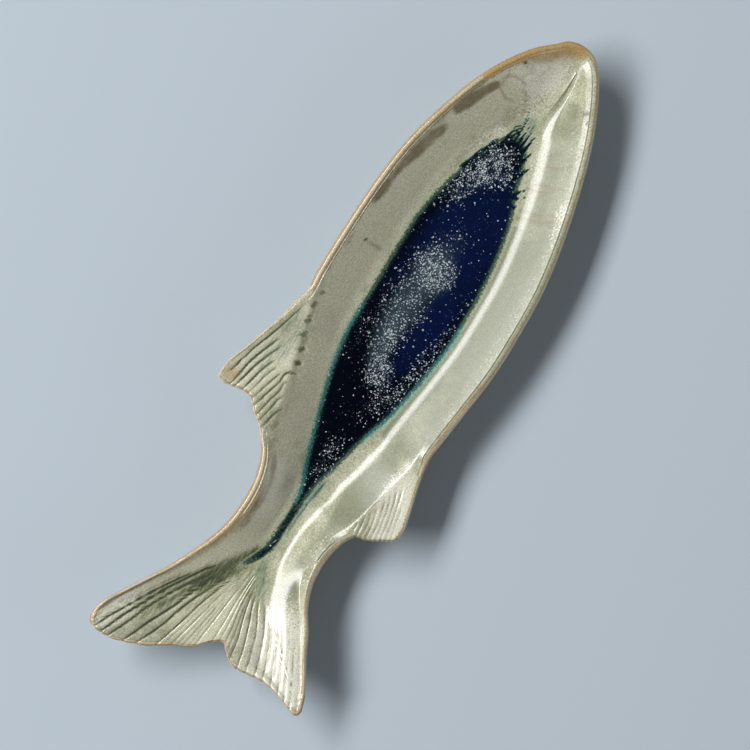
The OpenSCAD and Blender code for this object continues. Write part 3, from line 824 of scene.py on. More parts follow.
class DishSurface:
    """Rings of points on the dish's two surfaces, raised by the thickness of a coat."""

    # Half the width over which the floor is level at the spine
    SOFT = 6.0
    # Angles of the web between which the lip changes from the fins' to the body's
    LIP_ANGLES = (0.2, 0.5)
    # Distances from the edge between which the lower lobe's wall sets in
    LOBE_REACH = (3.0, 10.0)
    # How much the slope of the wall's even band differs at its ends, and the steepest it may be
    BAND_SWING = 0.03
    BAND_MOST = 1.1
    # Share of the wall that the cove keeps at least
    BAND_START = 0.03
    # Share of the web that the face's rings cover, and where the underside's rings start on the web
    # and end on the wall
    WEB_END = 0.97
    UNDER_START = 0.15
    UNDER_END = 0.2

    def __init__(self, form: DishForm, grooves: GrooveField) -> None:
        """Works out the sections once.

        Args:
            form: The moulding's sizes.
            grooves: The grooves of its fins and tail.
        """
        self.form = form
        self.grooves = grooves
        self.middle = form.middle()
        s = form.stations(grooves)
        self.s = s
        self.inward = unit(s.top - s.edge)
        wide = lerp(s.angle, np.maximum(s.angle, form.lip_angle), ramp(s.angle, *self.LIP_ANGLES))
        self.lip = lerp(wide, s.angle, s.tail)
        self.across = unit(s.spine - s.top)
        self.span = np.linalg.norm(s.spine - s.top, axis=1)
        most = (1 - form.least_floor) * self.span
        self.run = lerp(np.minimum(form.wall_run, most), most, s.tail)
        self.cove = lerp(form.cove, form.tail_cove, s.tail)
        reach = np.linalg.norm(s.top - s.edge, axis=1)
        fall = reach - form.bead * (1 + np.sin(s.angle))
        height = s.rim - form.bead * (1 - np.cos(s.angle)) - fall * np.tan(s.angle)
        self.top_height = lerp(eased(height, s.top, form.blend), height, s.tail)
        width = self.span - self.run
        self.base_height = s.spine_height + form.floor_fall * (np.hypot(width, self.SOFT) - self.SOFT)

    def bead(self, angle: Array | float, radius: float) -> Array:
        """Points round the rim's bead.

        Args:
            angle: Angle from straight up towards the outside.
            radius: The bead's radius with its coat.

        Returns:
            The ring's points.
        """
        s = self.s
        shift = self.form.bead + s.scallop - radius * np.sin(angle)
        place = s.edge + self.inward * shift[:, None]
        return np.column_stack([place, s.rim - self.form.bead + radius * np.cos(angle)])

    def web(self, share: float, skin: float) -> Array:
        """Points between the bead and the top of the wall.

        Args:
            share: Share of the way from the bead to the wall.
            skin: Thickness of the coat.

        Returns:
            The ring's points.
        """
        start = self.bead(-self.lip, self.form.bead)
        tilt = self.s.angle
        place = lerp(start[:, :2], self.s.top, share) + self.inward * (skin * np.sin(tilt))[:, None]
        height = lerp(start[:, 2], self.top_height, share) + skin * np.cos(tilt)
        return self.lobed(np.column_stack([place, height]), skin)

    def wall(self, share: float, skin: float) -> Array:
        """Points on the wall.

        Args:
            share: Share of the way from the floor up to its top.
            skin: Thickness of the coat.

        Returns:
            The ring's points.
        """
        f = self.cove
        low = share < f
        rise = np.where(low, share * share / (f * (2 - f)), (2 * share - f) / (2 - f))
        rate = np.where(low, 2 * share / (f * (2 - f)), 2 / (2 - f))
        drop = self.top_height - self.base_height
        banded_rise, banded_rate = self.banded(share, drop)
        rise, rate = lerp(banded_rise, rise, self.s.tail), lerp(banded_rate, rate, self.s.tail)
        tilt = np.arctan(drop / self.run * rate)
        out = self.span - self.run + self.run * share - skin * np.sin(tilt)
        place = self.s.spine - self.across * out[:, None]
        ring = np.column_stack([place, self.base_height + drop * rise + skin * np.cos(tilt)])
        return self.lobed(ring, skin)

    def banded(self, share: float, drop: Array) -> tuple[Array, Array]:
        """The body's wall, which leaves the floor in a cove and holds an even slope before it steepens.

        Args:
            share: Share of the way from the floor up to the wall's top.
            drop: How far the wall rises in all.

        Returns:
            The share of the drop that is reached, and the slope as a share of the mean slope.
        """
        form = self.form
        x = self.s.top[:, 0] - self.middle[0] - FISH_MIDDLE[0]
        places, widths, tops = np.array(BANDS).T
        width, top = np.interp(x, places, widths) / self.run, np.interp(x, places, tops)
        even = np.minimum(form.band_slope * self.run / drop, self.BAND_MOST)
        low, high = (1 - self.BAND_SWING) * even, (1 + self.BAND_SWING) * even
        blend = form.band_blend
        rest = top * (1 - width - blend / 2) + width * even + blend * high / 2 - 1
        start = np.maximum(rest / (top - low / 2), self.BAND_START)
        end = start + width
        steep = end + blend
        rise, rate = np.zeros((2, len(x)))
        for first, last, here, there in (
            (0 * start, start, 0 * low, low), (start, end, low, high), (end, steep, high, top),
            (steep, 1, top, top),
        ):
            done = np.clip((share - first) / (last - first), 0, 1)
            slope = lerp(here, there, done)
            rise += (last - first) * done * (here + slope) / 2
            rate = np.where(share >= first, slope, rate)
        return rise, rate

    def seam(self, skin: float) -> Array:
        """Points on the spine, which both halves of the dish share."""
        return np.column_stack([self.s.seam - self.middle, self.s.seam_height + skin])

    def lobed(self, ring: Array, skin: float) -> Array:
        """Works the lower lobe's wall into a ring of the web, the wall or the floor.

        Args:
            ring: The ring's points in the moulding's own frame.
            skin: Thickness of the coat.

        Returns:
            The same ring, with its new heights.
        """
        height, share = LobeWall().at(ring[:, :2] - self.middle - FISH_MIDDLE)
        share *= ramp(np.linalg.norm(ring[:, :2] - self.s.edge, axis=1), *self.LOBE_REACH)
        ring[:, 2] = lerp(ring[:, 2], height + skin, share)
        return ring

    def floor(self, share: float, skin: float) -> Array:
        """Points on the floor.

        Args:
            share: Share of the way from the spine to the foot of the wall.
            skin: Thickness of the coat.

        Returns:
            The ring's points.
        """
        out = (self.span - self.run) * share
        place = self.s.spine - self.across * out[:, None]
        height = self.s.spine_height + self.form.floor_fall * (np.hypot(out, self.SOFT) - self.SOFT) + skin
        return self.lobed(np.column_stack([place, height]), skin)

    def pressed(self, ring: Array, hidden: bool = False) -> Array:
        """A ring in the model's frame, with the grooves pressed into it.

        Args:
            ring: The ring's points in the moulding's own frame.
            hidden: Whether the surface lies below another one, which it must clear in the grooves.

        Returns:
            The ring's points in the model's frame.
        """
        ring = ring.copy()
        ring[:, :2] -= self.middle
        places = ring[:, :2] - FISH_MIDDLE
        depth, _, nearby = self.grooves.at(places)
        ring[:, 2] -= nearby if hidden else depth
        return ring

    def face(self, skin: float, detail: int, hidden: bool = False) -> list[Array]:
        """Rings of the upper face from the spine out to the rim's outside.

        Args:
            skin: Thickness of the coat that is stood on the clay.
            detail: Number of rings across the web. The other stretches follow it.
            hidden: Whether the surface lies below another one.

        Returns:
            The rings, in the model's frame.
        """
        rings = [self.floor(t, skin) for t in np.linspace(0, 1, max(3, detail // 2))[1:]]
        rings += [self.wall(t, skin) for t in np.linspace(0, 1, detail)[1:]]
        rings += [self.web(1 - t, skin) for t in np.linspace(0, self.WEB_END, detail)[1:]]
        radius = self.form.bead + skin
        rings += [
            self.bead(lerp(-self.lip, math.pi / 2, t), radius)
            for t in np.linspace(0, 1, max(4, detail // 3))
        ]
        return [self.seam(skin)] + [self.pressed(ring, hidden) for ring in rings]

    def underside(self, skin: float, detail: int) -> list[Array]:
        """Rings of the underside from the rim's outside in to the edge of the level base.

        Args:
            skin: Thickness of the coat under the clay.
            detail: Number of rings across the web. The other stretches follow it.

        Returns:
            The rings, in the model's frame.
        """
        radius = self.form.bead + skin
        under = -self.form.clay - skin
        rings = [
            self.bead(lerp(math.pi / 2, math.pi - self.s.angle, t), radius)
            for t in np.linspace(0, 1, max(4, detail // 3))
        ]
        rings = [self.pressed(ring) for ring in rings]
        plain = [self.web(t, under) for t in np.linspace(self.UNDER_START, 1, detail)]
        plain += [self.wall(t, under) for t in np.linspace(1, self.UNDER_END, detail)[1:]]
        base = self.s.spine - self.across * (self.span - self.run)[:, None]
        plain.append(np.column_stack([base, self.s.spine_height - self.form.clay - skin]))
        return rings + [ring - np.append(self.middle, 0) for ring in plain]


@dataclass(frozen=True)
class Patch:
    """A soft-edged oval of one of the glaze's effects, placed in the fish's frame.

    Attributes:
        x: Its middle along the fish.
        y: Its middle across the fish.
        long: Half its length.
        wide: Half its width.
        turn: Angle of its length from the fish's axis, in degrees.
        strength: How strong the effect is in the middle.
        soft: Share of its radius over which it fades.
    """

    x: float
    y: float
    long: float
    wide: float
    turn: float = 0
    strength: float = 1
    soft: float = 0.6

    def at(self, places: Array) -> Array:
        """The patch's strength at any places.

        Args:
            places: Places in the fish's frame.

        Returns:
            The strength at each place.
        """
        a = math.radians(self.turn)
        d = places - (self.x, self.y)
        along = (d[:, 0] * math.cos(a) + d[:, 1] * math.sin(a)) / self.long
        over = (d[:, 1] * math.cos(a) - d[:, 0] * math.sin(a)) / self.wide
        radius = np.hypot(along, over)
        return self.strength * ramp(radius, 1 + self.soft / 2, 1 - self.soft / 2)


@dataclass(frozen=True)
class Trail:
    """A soft line of one of the glaze's effects, placed in the fish's frame.

    Attributes:
        points: Places along it, each with how far it reaches there.
        strength: How strong the effect is.
        soft: Share of its reach over which it fades.
        ends: Share of its length over which it fades out at each end.
    """

    STEP = 3.0
    THINNEST = 0.05

    points: tuple[tuple[float, float, float], ...]
    strength: float = 1
    soft: float = 0.7
    ends: float = 0

    def at(self, places: Array) -> Array:
        """The trail's strength at any places.

        Args:
            places: Places in the fish's frame.

        Returns:
            The strength at each place.
        """
        line = smooth_line(np.array(self.points), self.STEP)
        gap, share = line_distance(places, line, 2 * line[:, 2].max())
        reach = np.interp(share, np.linspace(0, 1, len(line)), line[:, 2])
        radius = gap / np.maximum(reach, self.THINNEST)
        value = self.strength * ramp(radius, 1 + self.soft / 2, 1 - self.soft / 2)
        return value * ramp(0.5 - np.abs(share - 0.5), 0, self.ends) if self.ends else value


# Edge of the cobalt glaze, from the head round the belly side to the waist and back
POOL_EDGE = (
    (170, 8), (174, 1), (171, -7), (163, -11), (153, -14.5), (142, -17), (133, -21.5), (121, -25.5),
    (109, -28), (90, -31), (70, -33), (50, -33.5), (30, -33.5), (12, -31.5), (0, -30), (-15, -27.5),
    (-30, -24.5), (-42, -20.5), (-52, -17.5), (-65, -14.5), (-78, -11.6), (-90, -8), (-104, -6), (-118, -5.4),
    (-134, -5), (-148, -4), (-150, -1.5), (-140, -2), (-122, -2.8), (-108, -2), (-98, 0.4),
    (-88, 4.4), (-76, 8.6), (-62, 13), (-46, 18), (-30, 22.5), (-15, 26), (0, 28.5), (20, 29.6),
    (45, 30), (70, 30.4), (95, 30.2), (110, 28.5), (124, 25.5), (138, 21.5), (150, 17.5), (162, 13),
)

# The glaze's effects, each in a table of given places
# In the pool: pale crystals, a milky haze, and a bluer glass
CRYSTALS = (
    Patch(50, 6, 42, 12, -4, 0.2, 1.3),
    Patch(70, 0, 13, 11, 60, 0.5, 1.2),
    Patch(30, 19, 30, 5, -8, 0.08, 1.2),
    Patch(10, 4, 12, 6, 8, 0.5, 1.1),
    Patch(-8, -3, 11, 8, 20, 0.6, 1.1),
    Patch(28, -2, 18, 8, 0, 0.14, 1.2),
    Patch(136, 13, 22, 8, -20, 0.42, 1.1),
    Patch(152, 3, 14, 12, 10, 0.5, 1.1),
    Patch(-24, -15, 14, 6, -30, 0.22, 1.3),
    Patch(4, -24, 30, 5, -8, 0.16, 1.3),
    Patch(-76, -4, 17, 6, 0, 0.2, 1.2),
    Patch(36, -29, 30, 3.4, 0, 0.08, 1.2),
)
HAZE = (
    Patch(-6, -2, 13, 9, 20, 0.36, 1.4),
    Patch(12, 4, 13, 7, 8, 0.3, 1.4),
    Patch(56, 3, 40, 13, -4, 0.6, 1.4),
    Patch(26, 6, 30, 9, 0, 0.36, 1.5),
    Patch(70, 0, 15, 12, 60, 0.3, 1.4),
    Patch(146, 6, 24, 10, -14, 0.3, 1.2),
)
BLUE = (
    Patch(116, -4, 38, 21, -8, 0.85, 1.2),
    Patch(66, -20, 62, 12, -2, 0.8, 1.3),
    Patch(78, 17, 36, 9, -8, 0.4, 1.3),
    Patch(20, -13, 30, 8, -10, 0.5, 1.3),
    Patch(62, 3, 50, 18, 0, 0.3, 1.2),
)
# On the celadon: white frost, brown patches with a painted shade along the dorsal fin's root, and a tan where
# it breaks over an edge
FROST = (
    Patch(222, 9, 15, 11, -30, 0.7, 1.2),
    Patch(212, 20, 8, 9, -30, 0.5, 1.2),
    Patch(212, 2, 22, 9, -10, 0.3, 1.2),
    Patch(185, 20, 30, 16, -30, 0.25, 1.2),
    Patch(135, 44, 44, 9, -12, 0.2, 1.2),
    Trail(((172, 13, 5), (150, 24, 5), (110, 34, 4), (60, 36, 3), (0, 34, 3)), 0.3, 1),
    Patch(172, -40, 50, 7, 24, 0.24, 1.2),
    Trail(((150, -50, 4), (90, -60, 5), (40, -61, 5), (-20, -58, 5), (-50, -53, 4)), 0.26, 1.2),
    Trail(((-118, -34, 5), (-135, -32, 6), (-152, -34, 5)), 0.34, 1.2),
    Patch(-50, 68, 26, 14, -20, 0.4, 1.2),
    Patch(-232, 58, 18, 10, -30, 0.45, 1.2),
    Trail(((-243, 64, 5), (-215, 57, 5), (-190, 44, 4)), 0.4, 1.2),
    Patch(-207, -50, 40, 24, 27, 0.85, 1.2),
    Patch(-82, -60, 28, 11, 14, 0.9, 1.2),
    Trail(((-34, 52, 4), (-16, 57.5, 4), (4, 59.5, 3)), 0.4, 1.2),
)
BROWN_AND_ROOT_SHADE = (
    Trail(((82, 60, 1.6), (98, 58.4, 2.6), (110, 57.2, 1.8), (122, 55.2, 3), (136, 51.8, 3.8),
           (150, 47.4, 3.4), (160, 44, 2)), 0.78, 1.2, 0.1),
    Trail(((164, 46.6, 2.2), (176, 42, 3.8), (188, 36, 3.2), (200, 29, 1.8)), 0.9, 1.2, 0.1),
    Patch(222, 13.5, 17, 9, -50, 0.42, 1),
    Patch(57, 59.6, 7, 1.2, 0, 0.4, 0.8),
    # Painted shade: a darker band along the dorsal fin's root, below its edge
    Trail(((30, 60, 1.2), (8, 57, 2), (-12, 51.5, 2.4), (-32, 45, 2.4), (-52, 38.5, 2), (-72, 33, 2)),
          0.4, 1.2, 0.1),
    Trail(((-84, 30, 1.6), (-106, 20, 2), (-125, 18.6, 2.4), (-140, 19.6, 2.6), (-156, 24.4, 1.4)),
          0.6, 1.2, 0.15),
    Patch(-113, -36, 14, 2.4, -12, 0.3, 1),
    Trail(((-174, -6.4, 1.4), (-190, -3.6, 1.6), (-206, -1.6, 0.8)), 0.3, 1, 0.3),
)
TAN = (
    Trail(((196, 41, 2), (212, 34, 4), (226, 25.5, 7), (237, 13, 8), (243, 2, 8), (243, -6, 4)), 0.9, 1.8),
    Trail(((-104, 22.5, 1.5), (-122, 22.5, 3), (-137, 23.6, 3.4), (-152, 27, 3.2), (-168, 34, 2.8),
           (-186, 44, 2.2), (-206, 55.5, 1.8)), 0.5, 1.2, 0.12),
    Patch(-60, 79, 6, 5, -10, 0.6, 1.4),
    Trail(((180, 47, 2), (140, 59, 2), (100, 65, 2)), 0.4, 1.2, 0.2),
)
# Dark glaze in the tail's rays, and thin teal glaze round the pool
STAIN = (
    Trail(((-138, -3, 2), (-152, 1, 4.4), (-168, 10, 6.4), (-184, 19.5, 7), (-204, 29, 5)), 0.41, 1.5, 0.2),
    Trail(((-184, 26, 5), (-203, 35, 8), (-218, 43, 8), (-234, 52, 5)), 0.25, 1.2, 0.2),
    Trail(((-186, 22.6, 1.2), (-203, 31, 2), (-213, 36.5, 2), (-228, 44, 1)), 0.36, 1.3, 0.3),
    Trail(((-176, 9, 2), (-200, 19, 3), (-222, 30, 2)), 0.2, 1, 0.3),
    Trail(((-146, -5, 2.6), (-162, -6, 4), (-178, -13, 6), (-192, -26, 5)), 0.24, 1.6, 0.3),
)
TEAL = (
    Trail(((-92, -4.2, 6), (-112, -4, 4.6), (-130, -3.6, 4), (-145, -3, 4), (-158, 1, 4)), 0.36, 1.5, 0.2),
    Trail(((-140, -4.4, 2.4), (-152, -4.4, 3.4), (-163, -6, 4.2), (-173, -12, 4.6), (-186, -24, 3)),
          0.22, 1.7, 0.3),
    Trail(((-144, -7, 0.9), (-158, -8, 1), (-168, -12, 1), (-180, -21, 0.8)), 0.28, 1.3, 0.3),
    Trail(((-144, -8.4, 0.9), (-122, -8, 1.2), (-106, -8.8, 1.8), (-92, -11, 1.8), (-80, -14.6, 1)),
          0.5, 1.4, 0.25),
    Trail(((-112, -6.2, 1), (-96, -7, 1.6), (-84, -9.4, 1.6), (-76, -12, 1)), 0.5, 1.4, 0.25),
    Trail(((162, 3, 1.2), (178, 2.4, 0.9), (192, 3, 0.7), (206, 7, 0.5)), 0.5, 1.3, 0.3),
    Trail(((162, -3, 1.4), (178, -3.6, 1), (196, -5, 0.6)), 0.4, 1.3, 0.3),
    Trail(((158, 9, 1.4), (173, 5.6, 1), (190, 4.6, 0.6)), 0.5, 1.3, 0.3),
    Trail(((160, -7, 1.4), (176, -7.4, 0.9), (188, -9.6, 0.5)), 0.4, 1.3, 0.3),
    Trail(((164, 1, 12), (180, 0, 8), (200, -1, 4)), 0.24, 1.7, 0.25),
    Patch(-31, 58.6, 13, 7, -18, 0.16, 1.8),
    Patch(-24, 58.5, 24, 8, -16, 0.22, 1.8),
    Trail(((-26, 65.5, 2), (-10, 64.5, 2.6), (6, 62, 1.6)), 0.22, 1.7, 0.25),
)
# Paler and deeper celadon, with painted light and painted shade: the long trail down the dorsal wall lightens
# the wall that faces away from the softbox, and the belly trails darken the wall that faces it
PALE_AND_PAINTED_LIGHT = (
    # Painted light: this long trail lightens the dorsal wall, which faces away from the softbox
    Trail(((205, 22, 12), (170, 34, 10), (130, 44, 13), (60, 49, 15), (0, 45, 14), (-50, 33, 12),
           (-90, 18, 10), (-130, 10, 12), (-165, 22, 10)), 0.95, 0.9),
    Patch(-208, 8, 30, 22, 0, 0.9, 1),
    Patch(-218, 54, 36, 12, -30, 1, 1),
    Trail(((-162, 28, 7), (-186, 41, 9), (-212, 56, 10), (-234, 68, 8)), 1, 0.9, 0.15),
    Patch(-200, -45, 52, 26, 27, 0.4, 1),
    Patch(-46, 66, 30, 16, -18, 1, 1),
    Patch(-80, -59, 32, 12, 14, 1.4, 1),
)
DEEP_AND_PAINTED_SHADE = (
    # Partly deeper glaze, partly painted shade: the trails and most patches here darken the belly side, which
    # faces the softbox
    Trail(((206, -19, 9), (174, -31, 12), (130, -42, 15), (60, -48, 16), (0, -47, 15), (-50, -43, 12),
           (-90, -36, 8)), 0.62, 0.9),
    Trail(((112, -44, 7), (84, -47, 8), (50, -47, 8), (28, -45, 6)), 0.8, 1.2),
    Trail(((120, -32, 4), (90, -36, 4), (50, -38, 4), (0, -36, 4), (-40, -30, 4)), 0.9, 1),
    Patch(-131, -33, 34, 9, -4, 0.62, 1),
    Patch(64, -60, 110, 12, 0, 0.3, 0.8),
    Patch(-200, -44, 44, 14, 27, 0.7, 1),
    Patch(-82, -37, 24, 9, -14, 1.4, 1),
    Patch(-96, 12, 24, 5, 16, 0.3, 1),
)
# Thin glaze, where the bands of the rim reach further in
THIN = (
    Trail(((-248, 64, 5), (-243, 50, 5), (-236, 36, 5), (-228, 20, 5), (-220, 2, 5), (-213, -8, 5),
           (-222, -16, 5), (-225, -30, 5), (-224, -50, 5), (-228, -66, 5)), 0.9, 0.6),
    Trail(((-97, -71, 3), (-102, -60, 4), (-107, -46, 4), (-114, -40, 3)), 1, 0.6),
    Trail(((12, 65, 4), (-12, 71, 5), (-35, 80, 5), (-58, 87, 5), (-66, 80, 5), (-65, 66, 5), (-66, 58, 5),
           (-77, 46, 5), (-86, 36, 3)), 0.8, 0.6),
    Trail(((-92, -72, 3), (-75, -68, 4), (-55, -63, 3)), 0.6, 0.6),
    Trail(((246, -2, 5), (240, -12, 6), (226, -24, 6), (200, -39, 7), (160, -54, 7), (110, -65, 7),
           (60, -71, 7), (0, -72, 7), (-40, -66, 7)), 0.8, 0.8, 0.06),
    Trail(((-112, -42, 5), (-140, -38, 6), (-165, -45, 6), (-195, -60, 6), (-222, -76, 5)), 0.5, 0.8, 0.1),
    Trail(((-160, 33, 5), (-185, 46, 6), (-210, 60, 6), (-236, 73, 6), (-246, 74, 5)), 0.3, 0.8, 0.1),
)
# Dark pinholes, brown runs below the pool, and the streaks in which the pool ends
PINHOLES = (
    Patch(62.5, 51.5, 1.1, 0.9), Patch(207, 29, 1.6, 0.9, 40), Patch(217.5, 23.2, 1.3, 0.9, 30),
    Patch(210.5, -30.3, 2.3, 0.9, -62), Patch(204.5, -33.3, 1, 0.8), Patch(62.3, 44, 0.6, 7, 0, 0.4),
)
FLOWS = (
    Trail(((129.5, -25, 1.3), (131, -33, 1.2), (133.6, -41, 1.1), (139, -50, 0.9)), 0.8, 0.8),
    Trail(((135.5, -26, 0.9), (137, -35, 0.9), (140, -43, 0.8), (144, -50, 0.7)), 0.6, 0.8),
    Trail(((149.5, -23, 1.3), (151.5, -33, 1.1), (153.5, -42, 0.9)), 0.8, 0.8),
    Trail(((155.5, -25, 0.9), (156.5, -34, 0.9), (159, -42, 0.7)), 0.6, 0.8),
    Trail(((168, -26, 1), (170.6, -33, 0.9), (176, -40, 0.6)), 0.6, 0.8),
    Trail(((180, 4.6, 0.7), (190, 6, 0.9), (197, 8.5, 1), (202.5, 12.4, 1), (206.6, 17, 1), (208, 21.5, 0.9),
           (206.4, 26, 0.9), (202.5, 29, 0.9), (198, 29, 0.9), (194.4, 26.5, 0.9), (193, 22, 0.9),
           (193.6, 18, 0.8)), 0.6, 1),
)
FEATHERS = (
    Trail(((-92, -3.6, 4), (-106, -4, 3.4), (-118, -4, 2.8), (-134, -3.8, 2.5), (-146, -3, 2.6),
           (-156, 0.8, 2.8), (-166, 6.4, 2.4), (-178, 13.4, 1.6)), 0.86, 1.2, 0.3),
    *(Trail(points, 1, 1) for points in (
        ((150, 14, 3), (162, 9.5, 2), (172, 7, 1.2), (184, 5.6, 0.3)),
        ((152, 18, 2), (162, 13.6, 1.4), (172, 10.4, 0.3)),
        ((140, 22, 2), (150, 19, 1.3), (160, 15.6, 0.3)),
        ((150, 2, 3), (164, 2.4, 1.6), (176, 1.6, 1), (192, 1.8, 0.3)),
        ((150, 4, 3), (166, 4.8, 1.4), (178, 3.8, 0.8), (188, 3.8, 0.2)),
        ((150, -1, 3), (166, -1, 1.6), (176, -1.6, 0.9), (186, -1.8, 0.2)),
        ((150, -3, 3), (164, -3, 1.8), (174, -4.2, 1), (184, -5.4, 0.2)),
        ((150, -9, 3), (164, -6.5, 2), (174, -7.6, 1), (182, -8.8, 0.2)),
        ((150, -8, 3), (163, -10, 1.6), (171, -12.6, 0.3)),
        ((148, -10, 2), (156, -14, 1.4), (163, -17.4, 0.3)),
        ((138, -14, 2), (140, -19, 1.2), (143.5, -24, 0.3)),
        ((138, -14, 2), (143, -18, 1.2), (149, -22.5, 0.3)),
        ((136, -13, 2), (135, -18, 1.2), (134, -23.4, 0.3)),
    )),
)
# The brown line inside the rim, and the pale green along the pool's edge
LINE = (
    Trail(((234, 12, 6), (216, 27, 6), (196, 38, 6), (170, 48.5, 6), (140, 56, 6), (100, 62, 6), (57, 63, 6),
           (22, 61, 6)), 0.8, 0.8, 0.08),
    Trail(((-78, 38, 6), (-98, 27, 6), (-125, 22, 6), (-150, 25, 6), (-172, 36, 5)), 0.16, 0.8, 0.15),
)
FRINGE = (
    Trail(((-110, 0, 3), (-88, 5, 3.4), (-62, 14, 3.2), (-30, 23.5, 3), (0, 29.6, 2.4), (24, 31, 1.6)),
          1, 1.4),
    Trail(((-50, -19, 3), (-30, -26, 4), (0, -31, 4), (30, -34.4, 3), (48, -34.6, 1.6)), 0.8, 1.4),
)

# Attributes of the face's glaze whose features add up, and those where the strongest one counts
SUMS = {"crystal": CRYSTALS, "blue": BLUE, "frost": FROST, "pale": PALE_AND_PAINTED_LIGHT, "shade": DEEP_AND_PAINTED_SHADE,
        "fringe": FRINGE, "haze": HAZE}
SHAPES = {"brown": BROWN_AND_ROOT_SHADE, "tan": TAN, "teal": TEAL, "pinhole": PINHOLES, "flow": FLOWS, "line": LINE}
# How much farther from the edge the glaze seems where it is thin, in millimetres
THINNER = 2.6


class GlazePattern:
    """Where the glaze changes. It is written on a mesh as attributes that the materials read."""

    # How far from a line its distance is told
    NEAR = 12.0
    POOL_STEP = 1.5
    # Values of the pool outside the feathers' reach and in their middle
    FEATHER_LEVELS = (-5.0, 2.5)
    # Share of the grooves' dark glaze at the edge, and the distances from it between which it rises
    EDGE_SHARE = 0.5
    EDGE_REACH = (2.0, 8.0)

    def __init__(self, grooves: GrooveField, rim: Array) -> None:
        """Draws the lines that the pattern follows.

        Args:
            grooves: The grooves, where dark glaze gathers.
            rim: The dish's outline in the model's frame.
        """
        self.grooves = grooves
        self.rim = rim
        self.pool = smooth_line(np.array(POOL_EDGE), self.POOL_STEP, closed=True)

    @staticmethod
    def most(features: tuple, places: Array) -> Array:
        """The strongest of several features.

        Args:
            features: Patches and trails.
            places: Places in the fish's frame.

        Returns:
            The strength at each place.
        """
        value = np.zeros(len(places))
        for feature in features:
            value = np.maximum(value, feature.at(places))
        return value

    @staticmethod
    def total(features: tuple, places: Array) -> Array:
        """The sum of several features at each place, up to one."""
        return np.clip(sum(feature.at(places) for feature in features), 0, 1)

    def write(self, piece: bpy.types.Object, side: Side) -> None:
        """Writes the pattern's attributes on a piece's points.

        Args:
            piece: The glaze piece, in the model's frame.
            side: The back has only the rim.
        """
        mesh = piece.data
        co = np.zeros(len(mesh.vertices) * 3, np.float32)
        mesh.vertices.foreach_get("co", co)
        model = co.reshape(-1, 3)[:, :2].astype(float) / MM
        places = model - FISH_MIDDLE
        rim, _ = line_distance(model, np.vstack([self.rim, self.rim[:1]]), self.NEAR)
        values = {"rim": rim + THINNER * self.most(THIN, places)}
        if side is Side.FACE:
            depth, grooved, _ = self.grooves.at(places)
            grooved *= lerp(self.EDGE_SHARE, 1, ramp(rim, *self.EDGE_REACH))
            values["groove"] = depth
            gap, _ = line_distance(places, np.vstack([self.pool, self.pool[:1]]), self.NEAR)
            pool = np.where(inside(places, self.pool[:, :2]), gap, -gap)
            values["pool"] = np.maximum(pool, lerp(*self.FEATHER_LEVELS, self.most(FEATHERS, places)))
            values["stain"] = np.maximum(self.most(STAIN, places), grooved)
            for name, features in SUMS.items():
                values[name] = self.total(features, places)
            for name, features in SHAPES.items():
                values[name] = self.most(features, places)
        for name, value in values.items():
            attribute = mesh.attributes.new(name, "FLOAT", "POINT")
            attribute.data.foreach_set("value", value.astype(np.float32))


def linear(code: str) -> tuple[float, float, float, float]:
    """An sRGB hex colour as linear values."""
    shares = [int(code[i:i + 2], 16) / 255 for i in (0, 2, 4)]
    return (*(s / 12.92 if s <= 0.04045 else ((s + 0.055) / 1.055) ** 2.4 for s in shares), 1.0)


def add(tree: bpy.types.NodeTree, kind: str, inputs: dict | None = None, **settings) -> bpy.types.Node:
    """Adds a node to a tree.

    Args:
        tree: The tree to add it to.
        kind: The node's type, without its ShaderNode prefix.
        inputs: For each input's name or number, a socket to link or a value to set.
        settings: The node's own settings.

    Returns:
        The node.
    """
    node = tree.nodes.new("ShaderNode" + kind)
    for name, value in settings.items():
        setattr(node, name, value)
    for key, value in (inputs or {}).items():
        if isinstance(value, Socket):
            tree.links.new(value, node.inputs[key])
        else:
            node.inputs[key].default_value = value
    return node


def new_material(name: str) -> tuple[bpy.types.Material, bpy.types.NodeTree]:
    """Makes an empty node material.

    Args:
        name: The material's name.

    Returns:
        The material and its tree.
    """
    material = bpy.data.materials.new(name)
    material.use_nodes = True
    material.node_tree.nodes.clear()
    return material, material.node_tree


